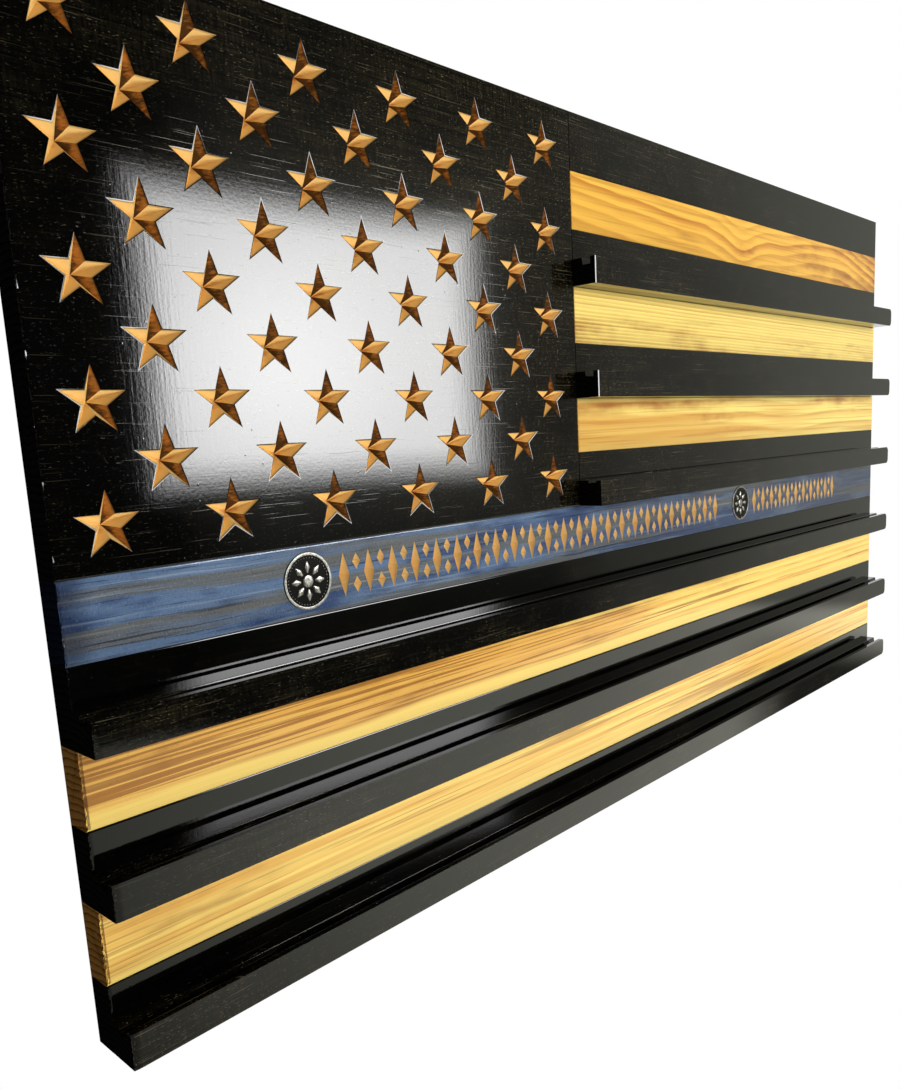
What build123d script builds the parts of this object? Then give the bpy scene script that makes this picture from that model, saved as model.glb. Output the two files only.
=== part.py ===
from build123d import *
import math
import os

# Striped wall plaque with a star field and six ledges that stand coins on edge.
# Frame: the wall is the plane y = 0 and the plaque's front faces -Y. X runs to the right as one
# looks at the front, Z is up, and x = 0, z = 0 is the middle of the plaque.
# Millimetres throughout.

# Strips and star panel
stripe_count = 13
union_stripes = 7
stripe_width = 38.1
last_stripe_width = 34.9
board_thickness = 15.9
board_ease = 0.5
fly_length = 939.8
union_width = 376.2
blue_stripe = 8

# Star field: rows of six and five in turn, cut with a pointed cutter
star_rows = 9
star_columns = 11
star_radius = 16.0
star_first_x = 27.0
star_first_z = 27.9
star_pitch_x = 32.0
star_pitch_z = 27.1
cutter_angle = 60.0
cutter_overrun = 1.0

# Coin ledges, glued to the lower part of the odd stripes from the third one down
ledge_stripes = (3, 5, 7, 9, 11, 13)
ledge_depth = 19.05
ledge_height = 18.0
coin_groove_width = 6.35
coin_groove_depth = 4.8
coin_lip_thickness = 4.2
ledge_front_ease = 1.2
groove_edge_ease = 0.6

# Chip-carved band and inlaid medallions on the blue stripe, from the plaque's left end
band_spans = ((152.0, 578.0), (641.0, 834.0))
band_pitch = 18.1
tall_lozenge = (7.6, 25.0)
small_lozenge = (5.8, 9.4)
small_lozenge_rise = 6.6
medallion_places = (132.0, 619.5)
medallion_names = ("medallion_left", "medallion_right")
medallion_diameter = 31.0
medallion_thickness = 2.6
medallion_inlay_depth = 2.0
medallion_fit = 0.15
medallion_rim = 1.6
medallion_relief = 0.45
medallion_boss_radius = 4.4

# Back battens
batten_width = 38.1
batten_thickness = 12.7
batten_end_margin = 12.7
batten_corner = 1.5
left_batten_column = 1
right_batten_inset = 59.0
joint_screw_offset = 12.0

# Countersunk batten screws
screw_shank_radius = 1.75
screw_head_radius = 3.9
screw_length = 21.0
screw_clearance = 0.05
screw_sides = 12
left_batten_rows = (0, 8)
left_batten_stripes = (10, 13)
joint_batten_rows = (1, 5)
joint_batten_short_stripes = (2, 6)
joint_batten_long_stripes = (13,)
right_batten_stripes = (1, 7, 13)

# Rubber bumpers that keep the battens off the wall
bumper_radius = 6.35
bumper_thickness = 4.8
bumper_ease = 1.0
bumper_inset = 32.0

# Two-hole strap hangers with a D ring each
strap_width = 12.7
strap_sheet = 0.8
strap_below_pivot = 42.0
strap_screw_drops = (24.5, 35.0)
strap_corner = 3.0
strap_screw_clearance = 0.35
hanger_drop = 60.0
ring_wire_radius = 1.2
ring_wire_sides = 8
ring_running_gap = 0.06
ring_inner_half_width = 8.25
ring_leg = 8.0
ring_corner_radius = 2.2
ring_rest_gap = 0.3
pan_head_radius = 3.5
pan_head_height = 2.0
pan_head_ease = 0.9
hanger_screw_length = 12.7

# Worked-out places
hoist_height = (stripe_count - 1) * stripe_width + last_stripe_width
left_x = -fly_length / 2
right_x = fly_length / 2
top_z = hoist_height / 2
bottom_z = -hoist_height / 2
union_right_x = left_x + union_width
batten_back_y = -bumper_thickness
board_back_y = batten_back_y - batten_thickness
board_front_y = board_back_y - board_thickness
ledge_front_y = board_front_y - ledge_depth
batten_height = hoist_height - 2 * batten_end_margin
cutter_slope = math.tan(math.radians(cutter_angle / 2))


def stripe_top(number):
    """Height of a stripe's top edge, counted from 1 at the top."""
    return top_z - (number - 1) * stripe_width


def stripe_bottom(number):
    """Height of a stripe's bottom edge."""
    if number == stripe_count:
        return bottom_z
    return stripe_top(number) - stripe_width


def stripe_middle(number):
    """Height of a stripe's centre line."""
    return (stripe_top(number) + stripe_bottom(number)) / 2


def stripe_left(number):
    """Left end of a stripe: the upper ones start at the star panel."""
    return union_right_x if number <= union_stripes else left_x


def block(x0, x1, y0, y1, z0, z1):
    """Solid box between two corners."""
    box = Box(x1 - x0, y1 - y0, z1 - z0)
    return Pos((x0 + x1) / 2, (y0 + y1) / 2, (z0 + z1) / 2) * box


def board(x0, x1, z0, z1):
    """Plain board with its front edges sanded off."""
    plain = block(x0, x1, board_front_y, board_back_y, z0, z1)
    return chamfer(plain.faces().sort_by(Axis.Y)[0].edges(), board_ease)


def vee_pocket(outline, inner_radius, x, z):
    """Pyramid that a pointed cutter leaves when it follows an outline on the front face.

    Every side of the outline lies at inner_radius from its centre, so the sloped walls meet in one
    point. The base stands cutter_overrun in front of the board.
    """
    depth = inner_radius / cutter_slope
    grow = (depth + cutter_overrun) / depth
    base_y = board_front_y - cutter_overrun
    rim = [Vector(x + grow * u, base_y, z + grow * v) for u, v in outline]
    tip = Vector(x, board_front_y + depth, z)
    walls = [Face(Wire.make_polygon([a, b, tip])) for a, b in zip(rim, rim[1:] + rim[:1])]
    return Solid(Shell(walls + [Face(Wire.make_polygon(rim))]))


def star_outline():
    """Ten corners of a five-pointed star, one point up."""
    notch_radius = star_radius * math.sin(math.radians(18)) / math.sin(math.radians(54))
    corners = []
    for turn in range(10):
        radius = star_radius if turn % 2 == 0 else notch_radius
        angle = math.radians(90 + 36 * turn)
        corners.append((radius * math.cos(angle), radius * math.sin(angle)))
    return corners


def star_x(column):
    """Place of a star column, counted from 0 at the left."""
    return left_x + star_first_x + column * star_pitch_x


def star_z(row):
    """Height of a star row, counted from 0 at the top."""
    return top_z - star_first_z - row * star_pitch_z


def star_field():
    """Pockets of all the stars, rows of six and five in turn."""
    inner_radius = star_radius * math.sin(math.radians(18))
    outline = star_outline()
    pockets = []
    for row in range(star_rows):
        for column in range(row % 2, star_columns, 2):
            pockets.append(vee_pocket(outline, inner_radius, star_x(column), star_z(row)))
    return pockets


def lozenge_pocket(size, x, z):
    """Pointed pocket with a lozenge outline."""
    half_width = size[0] / 2
    half_height = size[1] / 2
    outline = [(half_width, 0), (0, half_height), (-half_width, 0), (0, -half_height)]
    inner_radius = half_width * half_height / math.hypot(half_width, half_height)
    return vee_pocket(outline, inner_radius, x, z)


def carved_band():
    """Tall lozenges with pairs of small ones between them, over each span."""
    middle = stripe_middle(blue_stripe)
    pockets = []
    for start, end in band_spans:
        room = end - start - tall_lozenge[0]
        count = int(room / band_pitch) + 1
        first = left_x + (start + end - (count - 1) * band_pitch) / 2
        for step in range(count):
            pockets.append(lozenge_pocket(tall_lozenge, first + step * band_pitch, middle))
        for step in range(count - 1):
            between = first + (step + 0.5) * band_pitch
            for rise in (small_lozenge_rise, -small_lozenge_rise):
                pockets.append(lozenge_pocket(small_lozenge, between, middle + rise))
    return pockets


def along_y(radius, y0, y1, x, z):
    """Round bar along Y."""
    bar = Cylinder(radius, abs(y1 - y0))
    return Pos(x, (y0 + y1) / 2, z) * Rot(X=90) * bar


def revolved(points, x, y, z):
    """Turned solid on a Y axis through x, z: each point is (radius, distance behind y)."""
    profile = Polyline(*[(radius, back) for radius, back in points], close=True)
    return Pos(x, y, z) * revolve(make_face(profile), Axis.Y)


def medallion_x(place):
    """Place of a medallion in the plaque's frame."""
    return left_x + place


def medallion(place):
    """Turned disc with a raised rim and a low boss, set into the blue stripe."""
    radius = medallion_diameter / 2
    front = medallion_inlay_depth - medallion_thickness
    field = front + medallion_relief
    points = [
        (0, medallion_inlay_depth),
        (radius, medallion_inlay_depth),
        (radius, front),
        (radius - medallion_rim, front),
        (radius - medallion_rim - medallion_relief, field),
        (medallion_boss_radius + medallion_relief, field),
        (medallion_boss_radius, front),
        (0, front),
    ]
    return revolved(points, medallion_x(place), board_front_y, stripe_middle(blue_stripe))


def medallion_recess(place):
    """Round recess that holds a medallion."""
    radius = medallion_diameter / 2 + medallion_fit
    floor_y = board_front_y + medallion_inlay_depth
    return along_y(radius, board_front_y - cutter_overrun, floor_y, medallion_x(place), stripe_middle(blue_stripe))


def coin_ledge(number):
    """Square strip with a coin groove along its top, its underside flush with the stripe's."""
    bottom = stripe_bottom(number)
    top = bottom + ledge_height
    lip_back_y = ledge_front_y + coin_lip_thickness
    groove_back_y = lip_back_y + coin_groove_width
    floor = top - coin_groove_depth
    outline = [
        (board_front_y, bottom),
        (ledge_front_y, bottom),
        (ledge_front_y, top),
        (lip_back_y, top),
        (lip_back_y, floor),
        (groove_back_y, floor),
        (groove_back_y, top),
        (board_front_y, top),
    ]
    profile = make_face(Polyline(*outline, close=True))
    corners = profile.vertices()
    front_corners = corners.filter_by(lambda v: abs(v.X - ledge_front_y) < groove_edge_ease)
    profile = fillet(front_corners, ledge_front_ease)
    groove_corners = profile.vertices().filter_by(
        lambda v: abs(v.Y - top) < groove_edge_ease and (
            abs(v.X - lip_back_y) < groove_edge_ease or abs(v.X - groove_back_y) < groove_edge_ease
        )
    )
    profile = fillet(groove_corners, groove_edge_ease)
    length = right_x - stripe_left(number)
    upright = Plane(origin=(stripe_left(number), 0, 0), x_dir=(0, 1, 0), z_dir=(1, 0, 0))
    return extrude(upright * profile, amount=length)


batten_places = {
    "batten_left": star_x(left_batten_column),
    "batten_joint": union_right_x,
    "batten_right": right_x - right_batten_inset,
}


def batten_screw_points():
    """Screw places as batten name, x and z: clear of the stars, on the stripes' centre lines."""
    points = []
    for row in left_batten_rows:
        points.append(("batten_left", batten_places["batten_left"], star_z(row)))
    for number in left_batten_stripes:
        points.append(("batten_left", batten_places["batten_left"], stripe_middle(number)))
    for row in joint_batten_rows:
        points.append(("batten_joint", union_right_x - joint_screw_offset, star_z(row)))
    for number in joint_batten_short_stripes:
        points.append(("batten_joint", union_right_x + joint_screw_offset, stripe_middle(number)))
    for number in joint_batten_long_stripes:
        points.append(("batten_joint", union_right_x, stripe_middle(number)))
    for number in right_batten_stripes:
        points.append(("batten_right", batten_places["batten_right"], stripe_middle(number)))
    return points


def screw_part(x, z, start, end):
    """Stretch of a screw between two (radius, y) ends: its bar, taper or head with few sides."""
    outlines = []
    for radius, y in (start, end):
        outline = RegularPolygon(radius, screw_sides, major_radius=False)
        outlines.append(Plane(origin=(x, y, z), x_dir=(1, 0, 0), z_dir=(0, -1, 0)) * outline)
    return loft(outlines, ruled=True)


def countersunk_screw(x, z, gap=0.0):
    """Flat-headed screw from the batten's back face; a gap makes the hole for it."""
    head = screw_head_radius + gap
    shank = screw_shank_radius + gap
    neck_y = batten_back_y - (head - shank)
    taper = screw_part(x, z, (head, batten_back_y), (shank, neck_y))
    return taper + screw_part(x, z, (shank, neck_y), (shank, batten_back_y - screw_length - gap))


def batten(name):
    """Upright strip with softened back edges."""
    x = batten_places[name]
    half = batten_width / 2
    half_height = batten_height / 2
    body = block(x - half, x + half, board_back_y, batten_back_y, -half_height, half_height)
    back_edges = body.faces().sort_by(Axis.Y)[-1].edges()
    return chamfer(back_edges, batten_corner)


def hanger_x(name):
    """Place of a strap hanger: on the centre line of its batten."""
    return batten_places[name]


pivot_z = batten_height / 2 - hanger_drop
loop_bore = ring_wire_radius + ring_running_gap
loop_radius = loop_bore + strap_sheet
pivot_y = batten_back_y + loop_radius
strap_front_y = batten_back_y + 2 * strap_sheet


def hanger_strap(name):
    """Steel strip folded round the ring's bar, both layers lying on the batten below it."""
    x = hanger_x(name)
    fold_end = pivot_z - 2 * loop_radius
    loop = Pos(pivot_y, pivot_z) * Circle(loop_radius)
    low_layer = Polyline(
        (batten_back_y, pivot_z),
        (batten_back_y, pivot_z - strap_below_pivot),
        (strap_front_y, pivot_z - strap_below_pivot),
        (strap_front_y, fold_end),
        (pivot_y + loop_radius, pivot_z),
        close=True,
    )
    bore = Pos(pivot_y, pivot_z) * Circle(loop_bore)
    profile = loop + make_face(low_layer) - bore
    upright = Plane(origin=(x - strap_width / 2, 0, 0), x_dir=(0, 1, 0), z_dir=(1, 0, 0))
    strap = extrude(upright * profile, amount=strap_width)
    low_corners = strap.edges().filter_by(Axis.Y).group_by(Axis.Z)[0]
    strap = fillet(low_corners, strap_corner)
    for drop in strap_screw_drops:
        hole_radius = screw_shank_radius + strap_screw_clearance
        strap -= along_y(hole_radius, batten_back_y - strap_sheet, strap_front_y + strap_sheet, x, pivot_z - drop)
    return strap


ring_half_width = ring_inner_half_width + ring_wire_radius
ring_reach = ring_leg + ring_half_width
ring_rest_tilt = math.degrees(
    math.asin((strap_front_y + ring_rest_gap + ring_wire_radius - pivot_y) / ring_reach)
)


def hanger_ring(name):
    """D-shaped wire ring, stored folded down over its strap."""
    x = hanger_x(name)
    half = ring_half_width
    corner = ring_corner_radius
    bar = Line((-half + corner, 0), (half - corner, 0))
    right_corner = RadiusArc((half - corner, 0), (half, -corner), corner)
    right_leg = Line((half, -corner), (half, -ring_leg))
    bow = ThreePointArc((half, -ring_leg), (0, -ring_reach), (-half, -ring_leg))
    left_leg = Line((-half, -ring_leg), (-half, -corner))
    left_corner = RadiusArc((-half, -corner), (-half + corner, 0), corner)
    path = Wire([bar.edge(), right_corner.edge(), right_leg.edge(), bow.edge(), left_leg.edge(), left_corner.edge()])
    upright = Plane(origin=(0, 0, 0), x_dir=(1, 0, 0), z_dir=(0, -1, 0))
    path = upright * path
    start = Plane(origin=(0, 0, 0), z_dir=(1, 0, 0))
    wire = RegularPolygon(ring_wire_radius, ring_wire_sides)
    ring = sweep(start * wire, path=path)
    return Pos(x, pivot_y, pivot_z) * Rot(X=ring_rest_tilt) * ring


def pan_screw(x, z, gap=0.0):
    """Pan-headed screw that holds a strap; a gap makes the hole for its shank."""
    shank = screw_shank_radius + gap
    tip_y = strap_front_y - hanger_screw_length
    if gap > 0.0:
        return screw_part(x, z, (shank, batten_back_y + gap), (shank, tip_y - gap))
    top_y = strap_front_y + pan_head_height
    shoulder_y = top_y - pan_head_ease
    head = screw_part(x, z, (pan_head_radius, shoulder_y), (pan_head_radius, strap_front_y))
    crown = screw_part(x, z, (pan_head_radius - pan_head_ease, top_y), (pan_head_radius, shoulder_y))
    return head + crown + screw_part(x, z, (shank, strap_front_y), (shank, tip_y))


hanger_battens = {"left": "batten_left", "right": "batten_right"}


def hanger_screw_points():
    """Places of the strap screws as batten name, x and z."""
    return [
        (name, hanger_x(name), pivot_z - drop) for name in hanger_battens.values() for drop in strap_screw_drops
    ]


def wall_bumpers():
    """Round rubber bumpers at both ends of each batten."""
    reach = batten_height / 2 - bumper_inset
    points = [
        (0, -bumper_thickness),
        (bumper_radius, -bumper_thickness),
        (bumper_radius, -bumper_ease),
        (bumper_radius - bumper_ease, 0),
        (0, 0),
    ]
    return [revolved(points, x, 0, z) for x in batten_places.values() for z in (reach, -reach)]


def keep(shape, node):
    """Write one node's file and label it."""
    shape.label = node
    export_step(shape, f"parts/{node}.step")


os.makedirs("parts", exist_ok=True)

screw_holes = {name: [] for name in batten_places}
for name, x, z in batten_screw_points():
    screw_holes[name].append(countersunk_screw(x, z, screw_clearance))
all_batten_holes = [hole for holes in screw_holes.values() for hole in holes]
hanger_holes = {name: [] for name in batten_places}
for name, x, z in hanger_screw_points():
    hanger_holes[name].append(pan_screw(x, z, screw_clearance))

union_block = board(left_x, union_right_x, stripe_bottom(union_stripes), top_z)
keep(union_block - star_field() - all_batten_holes, "union_panel")

for number in range(1, stripe_count + 1):
    stripe = board(stripe_left(number), right_x, stripe_bottom(number), stripe_top(number))
    if number == blue_stripe:
        stripe = stripe - carved_band() - [medallion_recess(place) for place in medallion_places]
    keep(stripe - all_batten_holes, f"stripe_{number:02d}")

for number in ledge_stripes:
    keep(coin_ledge(number), f"coin_ledge_{number:02d}")

for node, place in zip(medallion_names, medallion_places):
    keep(medallion(place), node)

for name in batten_places:
    keep(batten(name) - screw_holes[name] - hanger_holes[name], name)

keep(Compound([countersunk_screw(x, z) for name, x, z in batten_screw_points()]), "batten_screws")
keep(Compound(wall_bumpers()), "wall_bumpers")

for side, name in hanger_battens.items():
    keep(hanger_strap(name), f"hanger_strap_{side}")
    keep(hanger_ring(name), f"hanger_ring_{side}")
keep(Compound([pan_screw(x, z) for name, x, z in hanger_screw_points()]), "hanger_screws")

print("hoist", hoist_height, "fly", fly_length)
print("depth", -ledge_front_y)
print("ring pivot y", pivot_y, "z", pivot_z, "rest tilt", ring_rest_tilt)
print("hanger x", [hanger_x(name) for name in hanger_battens.values()])
for number in ledge_stripes:
    print("ledge", number, "x", stripe_left(number), "bottom", stripe_bottom(number))
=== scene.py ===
"""Looks of a striped wooden wall plaque with a carved star field and coin ledges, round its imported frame.

Metres throughout, in the plaque's own frame: the wall is the plane y = 0 and the front faces -Y. X runs to
the right as one looks at the front, Z is up, and x = 0, z = 0 is the middle of the plaque.
"""

import logging
import math
from contextlib import contextmanager
from dataclasses import dataclass, field
from enum import Enum
from typing import Callable, Iterator, Sequence

import bmesh
import bpy
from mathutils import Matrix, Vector


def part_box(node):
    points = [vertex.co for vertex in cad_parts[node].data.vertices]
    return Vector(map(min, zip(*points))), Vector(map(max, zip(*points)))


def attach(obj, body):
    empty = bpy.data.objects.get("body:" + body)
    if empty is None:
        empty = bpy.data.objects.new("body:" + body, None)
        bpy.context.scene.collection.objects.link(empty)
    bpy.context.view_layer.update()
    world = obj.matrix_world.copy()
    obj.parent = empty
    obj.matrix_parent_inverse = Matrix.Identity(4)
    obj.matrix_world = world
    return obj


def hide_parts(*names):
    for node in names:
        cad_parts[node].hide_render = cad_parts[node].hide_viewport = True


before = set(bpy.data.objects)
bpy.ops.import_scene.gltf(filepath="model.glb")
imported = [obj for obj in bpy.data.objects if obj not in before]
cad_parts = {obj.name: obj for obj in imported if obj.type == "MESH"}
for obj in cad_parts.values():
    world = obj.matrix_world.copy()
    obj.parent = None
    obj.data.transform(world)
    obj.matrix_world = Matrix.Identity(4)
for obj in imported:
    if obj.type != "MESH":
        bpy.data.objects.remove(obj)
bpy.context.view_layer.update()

log = logging.getLogger("plaque")

Colour = tuple[float, float, float]
Test = Callable[[object], bool]

STRIPES = 13
BLUE_STRIPE = 8
LEDGE_STRIPES = (3, 5, 7, 9, 11, 13)
FRONT_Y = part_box("union_panel")[0].y
SAME = 0.00002


def paint(red: int, green: int, blue: int) -> Colour:
    """Linear colour of an 8-bit display colour."""
    return tuple(
        c / 255 / 12.92 if c <= 10 else ((c / 255 + 0.055) / 1.055) ** 2.4 for c in (red, green, blue)
    )


# Shader graph


class Graph:
    """A material and the few kinds of node that its finishes are made of."""

    def __init__(self, name: str) -> None:
        """Start an empty material.

        Args:
            name: Name of the material.
        """
        self.material = bpy.data.materials.new(name)
        self.material.use_nodes = True
        self.nodes = self.material.node_tree.nodes
        self.links = self.material.node_tree.links
        self.nodes.clear()
        self.output = self.nodes.new("ShaderNodeOutputMaterial")
        self.place = self.nodes.new("ShaderNodeTexCoord").outputs["Object"]

    def join(self, source: object, target: bpy.types.NodeSocket) -> None:
        """Feed a socket from another socket, or set it to a plain value."""
        if isinstance(source, bpy.types.NodeSocket):
            self.links.new(source, target)
        elif target.type == "RGBA" and len(source) == 3:
            target.default_value = (*source, 1.0)
        else:
            target.default_value = source

    def math(self, operation: str, first: object, second: object = 0.0) -> bpy.types.NodeSocket:
        """Result of a Math node on two values or sockets."""
        node = self.nodes.new("ShaderNodeMath")
        node.operation = operation
        self.join(first, node.inputs[0])
        self.join(second, node.inputs[1])
        return node.outputs[0]

    def total(self, *terms: object) -> bpy.types.NodeSocket:
        """Sum of several values or sockets."""
        result = terms[0]
        for term in terms[1:]:
            result = self.math("ADD", result, term)
        return result

    def product(self, *terms: object) -> bpy.types.NodeSocket:
        """Product of several values or sockets."""
        result = terms[0]
        for term in terms[1:]:
            result = self.math("MULTIPLY", result, term)
        return result

    def axes(self, vector: bpy.types.NodeSocket) -> tuple[bpy.types.NodeSocket, ...]:
        """The three parts of a vector."""
        node = self.nodes.new("ShaderNodeSeparateXYZ")
        self.links.new(vector, node.inputs[0])
        return tuple(node.outputs)

    def vector(self, x: object, y: object, z: object) -> bpy.types.NodeSocket:
        """A vector of three values or sockets."""
        node = self.nodes.new("ShaderNodeCombineXYZ")
        for part, socket in zip((x, y, z), node.inputs):
            self.join(part, socket)
        return node.outputs[0]

    def stretch(
        self, vector: bpy.types.NodeSocket, scale: Sequence[float], shift: Sequence[float] = (0.0, 0.0, 0.0)
    ) -> bpy.types.NodeSocket:
        """A vector scaled and moved by a Mapping node."""
        node = self.nodes.new("ShaderNodeMapping")
        self.links.new(vector, node.inputs["Vector"])
        node.inputs["Scale"].default_value = scale
        node.inputs["Location"].default_value = shift
        return node.outputs[0]

    def noise(
        self, vector: bpy.types.NodeSocket, detail: float = 2.0, roughness: float = 0.5, warp: float = 0.0
    ) -> bpy.types.NodeSocket:
        """Smooth noise of unit cells over a vector, between 0 and 1."""
        node = self.nodes.new("ShaderNodeTexNoise")
        self.links.new(vector, node.inputs["Vector"])
        node.inputs["Scale"].default_value = 1.0
        node.inputs["Detail"].default_value = detail
        node.inputs["Roughness"].default_value = roughness
        node.inputs["Distortion"].default_value = warp
        return node.outputs["Fac"]

    def chance(self, value: bpy.types.NodeSocket) -> bpy.types.NodeSocket:
        """Random value between 0 and 1 for each whole number."""
        node = self.nodes.new("ShaderNodeTexWhiteNoise")
        node.noise_dimensions = "1D"
        self.links.new(value, node.inputs["W"])
        return node.outputs["Value"]

    def cells(self, vector: bpy.types.NodeSocket, spread: float = 1.0) -> bpy.types.NodeSocket:
        """Distance to the nearest of a field of scattered points of unit cells."""
        node = self.nodes.new("ShaderNodeTexVoronoi")
        self.links.new(vector, node.inputs["Vector"])
        node.inputs["Scale"].default_value = 1.0
        node.inputs["Randomness"].default_value = spread
        return node.outputs["Distance"]

    def step(self, value: object, low: float, high: float) -> bpy.types.NodeSocket:
        """Smooth step from 0 at low to 1 at high."""
        node = self.nodes.new("ShaderNodeMapRange")
        node.interpolation_type = "SMOOTHSTEP"
        self.join(value, node.inputs["Value"])
        node.inputs["From Min"].default_value = low
        node.inputs["From Max"].default_value = high
        return node.outputs["Result"]

    def curve(self, value: object, stops: Sequence[tuple[float, float]]) -> bpy.types.NodeSocket:
        """Value read off a grey ramp of (place, grey) stops."""
        node = self.nodes.new("ShaderNodeValToRGB")
        self.join(value, node.inputs[0])
        ramp = node.color_ramp
        while len(ramp.elements) < len(stops):
            ramp.elements.new(1.0)
        for element, (place, grey) in zip(ramp.elements, stops):
            element.position = place
            element.color = (grey, grey, grey, 1.0)
        return node.outputs["Color"]

    def mix(self, factor: object, first: object, second: object) -> bpy.types.NodeSocket:
        """Mix of two colours."""
        node = self.nodes.new("ShaderNodeMix")
        node.data_type = "RGBA"
        self.join(factor, node.inputs["Factor"])
        self.join(first, node.inputs[6])
        self.join(second, node.inputs[7])
        return node.outputs[2]

    def bump(self, height: bpy.types.NodeSocket, strength: float = 1.0) -> bpy.types.NodeSocket:
        """Normal of a surface whose relief is given in metres."""
        node = self.nodes.new("ShaderNodeBump")
        node.inputs["Strength"].default_value = strength
        node.inputs["Distance"].default_value = 1.0
        self.links.new(height, node.inputs["Height"])
        return node.outputs["Normal"]

    def surface(self, **sockets: object) -> bpy.types.Material:
        """Finish the material with a Principled shader.

        Args:
            sockets: Inputs of the shader, with underscores for blanks, as values or sockets.

        Returns:
            The finished material.
        """
        shader = self.nodes.new("ShaderNodeBsdfPrincipled")
        for name, source in sockets.items():
            self.join(source, shader.inputs[name.replace("_", " ")])
        self.links.new(shader.outputs[0], self.output.inputs["Surface"])
        return self.material


# Wood finishes


@dataclass(frozen=True)
class Coat:
    """Brushed clear coat: how dull it is and how its surface wanders, in metres."""

    roughness: float = 0.05
    peel: float = 0.0000065
    peel_size: float = 0.0018
    planer: float = 0.0000050
    dust: float = 0.000032
    fibre: float = 0.0000045
    score: float = 0.0

    def relief(self, graph: Graph, place: bpy.types.NodeSocket, fibres: bpy.types.NodeSocket) -> bpy.types.NodeSocket:
        """Height of the coat in metres: orange peel, planer ripples, dust nibs and raised fibres."""
        per_peel = 1 / self.peel_size
        peel = graph.noise(graph.stretch(place, (per_peel, per_peel, per_peel)), 1.0)
        ripples = graph.noise(graph.stretch(place, (620.0, 300.0, 55.0)), 2.0)
        nibs = graph.step(graph.cells(graph.stretch(place, (170.0, 170.0, 170.0))), 0.10, 0.03)
        rare = graph.step(graph.noise(graph.stretch(place, (41.0, 41.0, 41.0), (3.0, 1.0, 7.0)), 2.0), 0.50, 0.62)
        return graph.total(
            graph.product(peel, self.peel),
            graph.product(ripples, self.planer),
            graph.product(nibs, rare, self.dust),
            graph.product(fibres, self.fibre),
            graph.product(self.scores(graph, place), self.score),
        )

    def scores(self, graph: Graph, place: bpy.types.NodeSocket) -> bpy.types.NodeSocket:
        """Long hair-thin scratches along the board, 1 inside a scratch."""
        return graph.step(graph.noise(graph.stretch(place, (24.0, 600.0, 1700.0), (5.0, 1.0, 2.0)), 1.0), 0.66, 0.74)


@dataclass(frozen=True)
class Swell:
    """A rise of the grain lines round one place along the board."""

    place: float
    width: float
    height: float


@dataclass(frozen=True)
class Grain:
    """Growth rings of one board and how the saw met them."""

    spacing: float
    heart_depth: float
    heart_height: float
    slope: float = 0.0
    dive: float = 0.0
    wave: float = 0.004
    wave_length: float = 0.12
    swells: tuple[Swell, ...] = ()
    seed: float = 0.0

    def rings(self, graph: Graph, place: bpy.types.NodeSocket) -> tuple[bpy.types.NodeSocket, bpy.types.NodeSocket]:
        """Late-wood darkness and a random value for each ring."""
        x, y, z = graph.axes(place)
        per_wave = 1 / self.wave_length
        wander = graph.noise(graph.stretch(place, (per_wave, 12.0, 22.0), (self.seed, 0.0, self.seed)), 2.0, 0.45)
        lift = graph.total(
            graph.product(graph.math("SUBTRACT", wander, 0.5), 2 * self.wave),
            graph.product(x, self.slope),
            -self.heart_height,
            z,
        )
        for swell in self.swells:
            away = graph.product(graph.math("SUBTRACT", x, swell.place), 1 / swell.width)
            bell = graph.math("POWER", math.e, graph.product(graph.math("MULTIPLY", away, away), -1.0))
            lift = graph.total(lift, graph.product(bell, -swell.height))
        depth = graph.total(graph.product(x, self.dive), y, self.heart_depth)
        radius = graph.math(
            "SQRT", graph.total(graph.math("MULTIPLY", lift, lift), graph.math("MULTIPLY", depth, depth))
        )
        jitter = graph.noise(graph.stretch(place, (14.0, 300.0, 300.0), (self.seed, 2.0, 5.0)), 2.0)
        phase = graph.total(graph.product(radius, 1 / self.spacing), graph.product(jitter, 0.22), 20.0)
        within = graph.math("FRACT", phase)
        dark = graph.curve(within, ((0.0, 0.0), (0.25, 0.10), (0.55, 0.62), (0.85, 1.0), (0.94, 0.6), (1.0, 0.0)))
        return dark, graph.chance(graph.math("FLOOR", phase))


def fibres(graph: Graph, place: bpy.types.NodeSocket, seed: float) -> bpy.types.NodeSocket:
    """Fine streaks along the board."""
    return graph.noise(graph.stretch(place, (7.0, 500.0, 900.0), (seed, seed, seed)), 3.0, 0.6)


def flecks(graph: Graph, place: bpy.types.NodeSocket, seed: float, amount: float) -> bpy.types.NodeSocket:
    """Short dashes along the board, 1 inside a dash."""
    field_noise = graph.noise(graph.stretch(place, (330.0, 900.0, 2400.0), (seed, 4.0, seed)), 2.0)
    return graph.step(field_noise, 0.78 - amount, 0.84 - amount)


class WoodFinish:
    """What every finish of a board shares: it makes one material in the board's own frame."""

    def board_place(self, graph: Graph, middle: Vector) -> bpy.types.NodeSocket:
        """Object place measured from the middle of the board's front face."""
        return graph.stretch(graph.place, (1.0, 1.0, 1.0), (-middle.x, -FRONT_Y, -middle.z))


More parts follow.
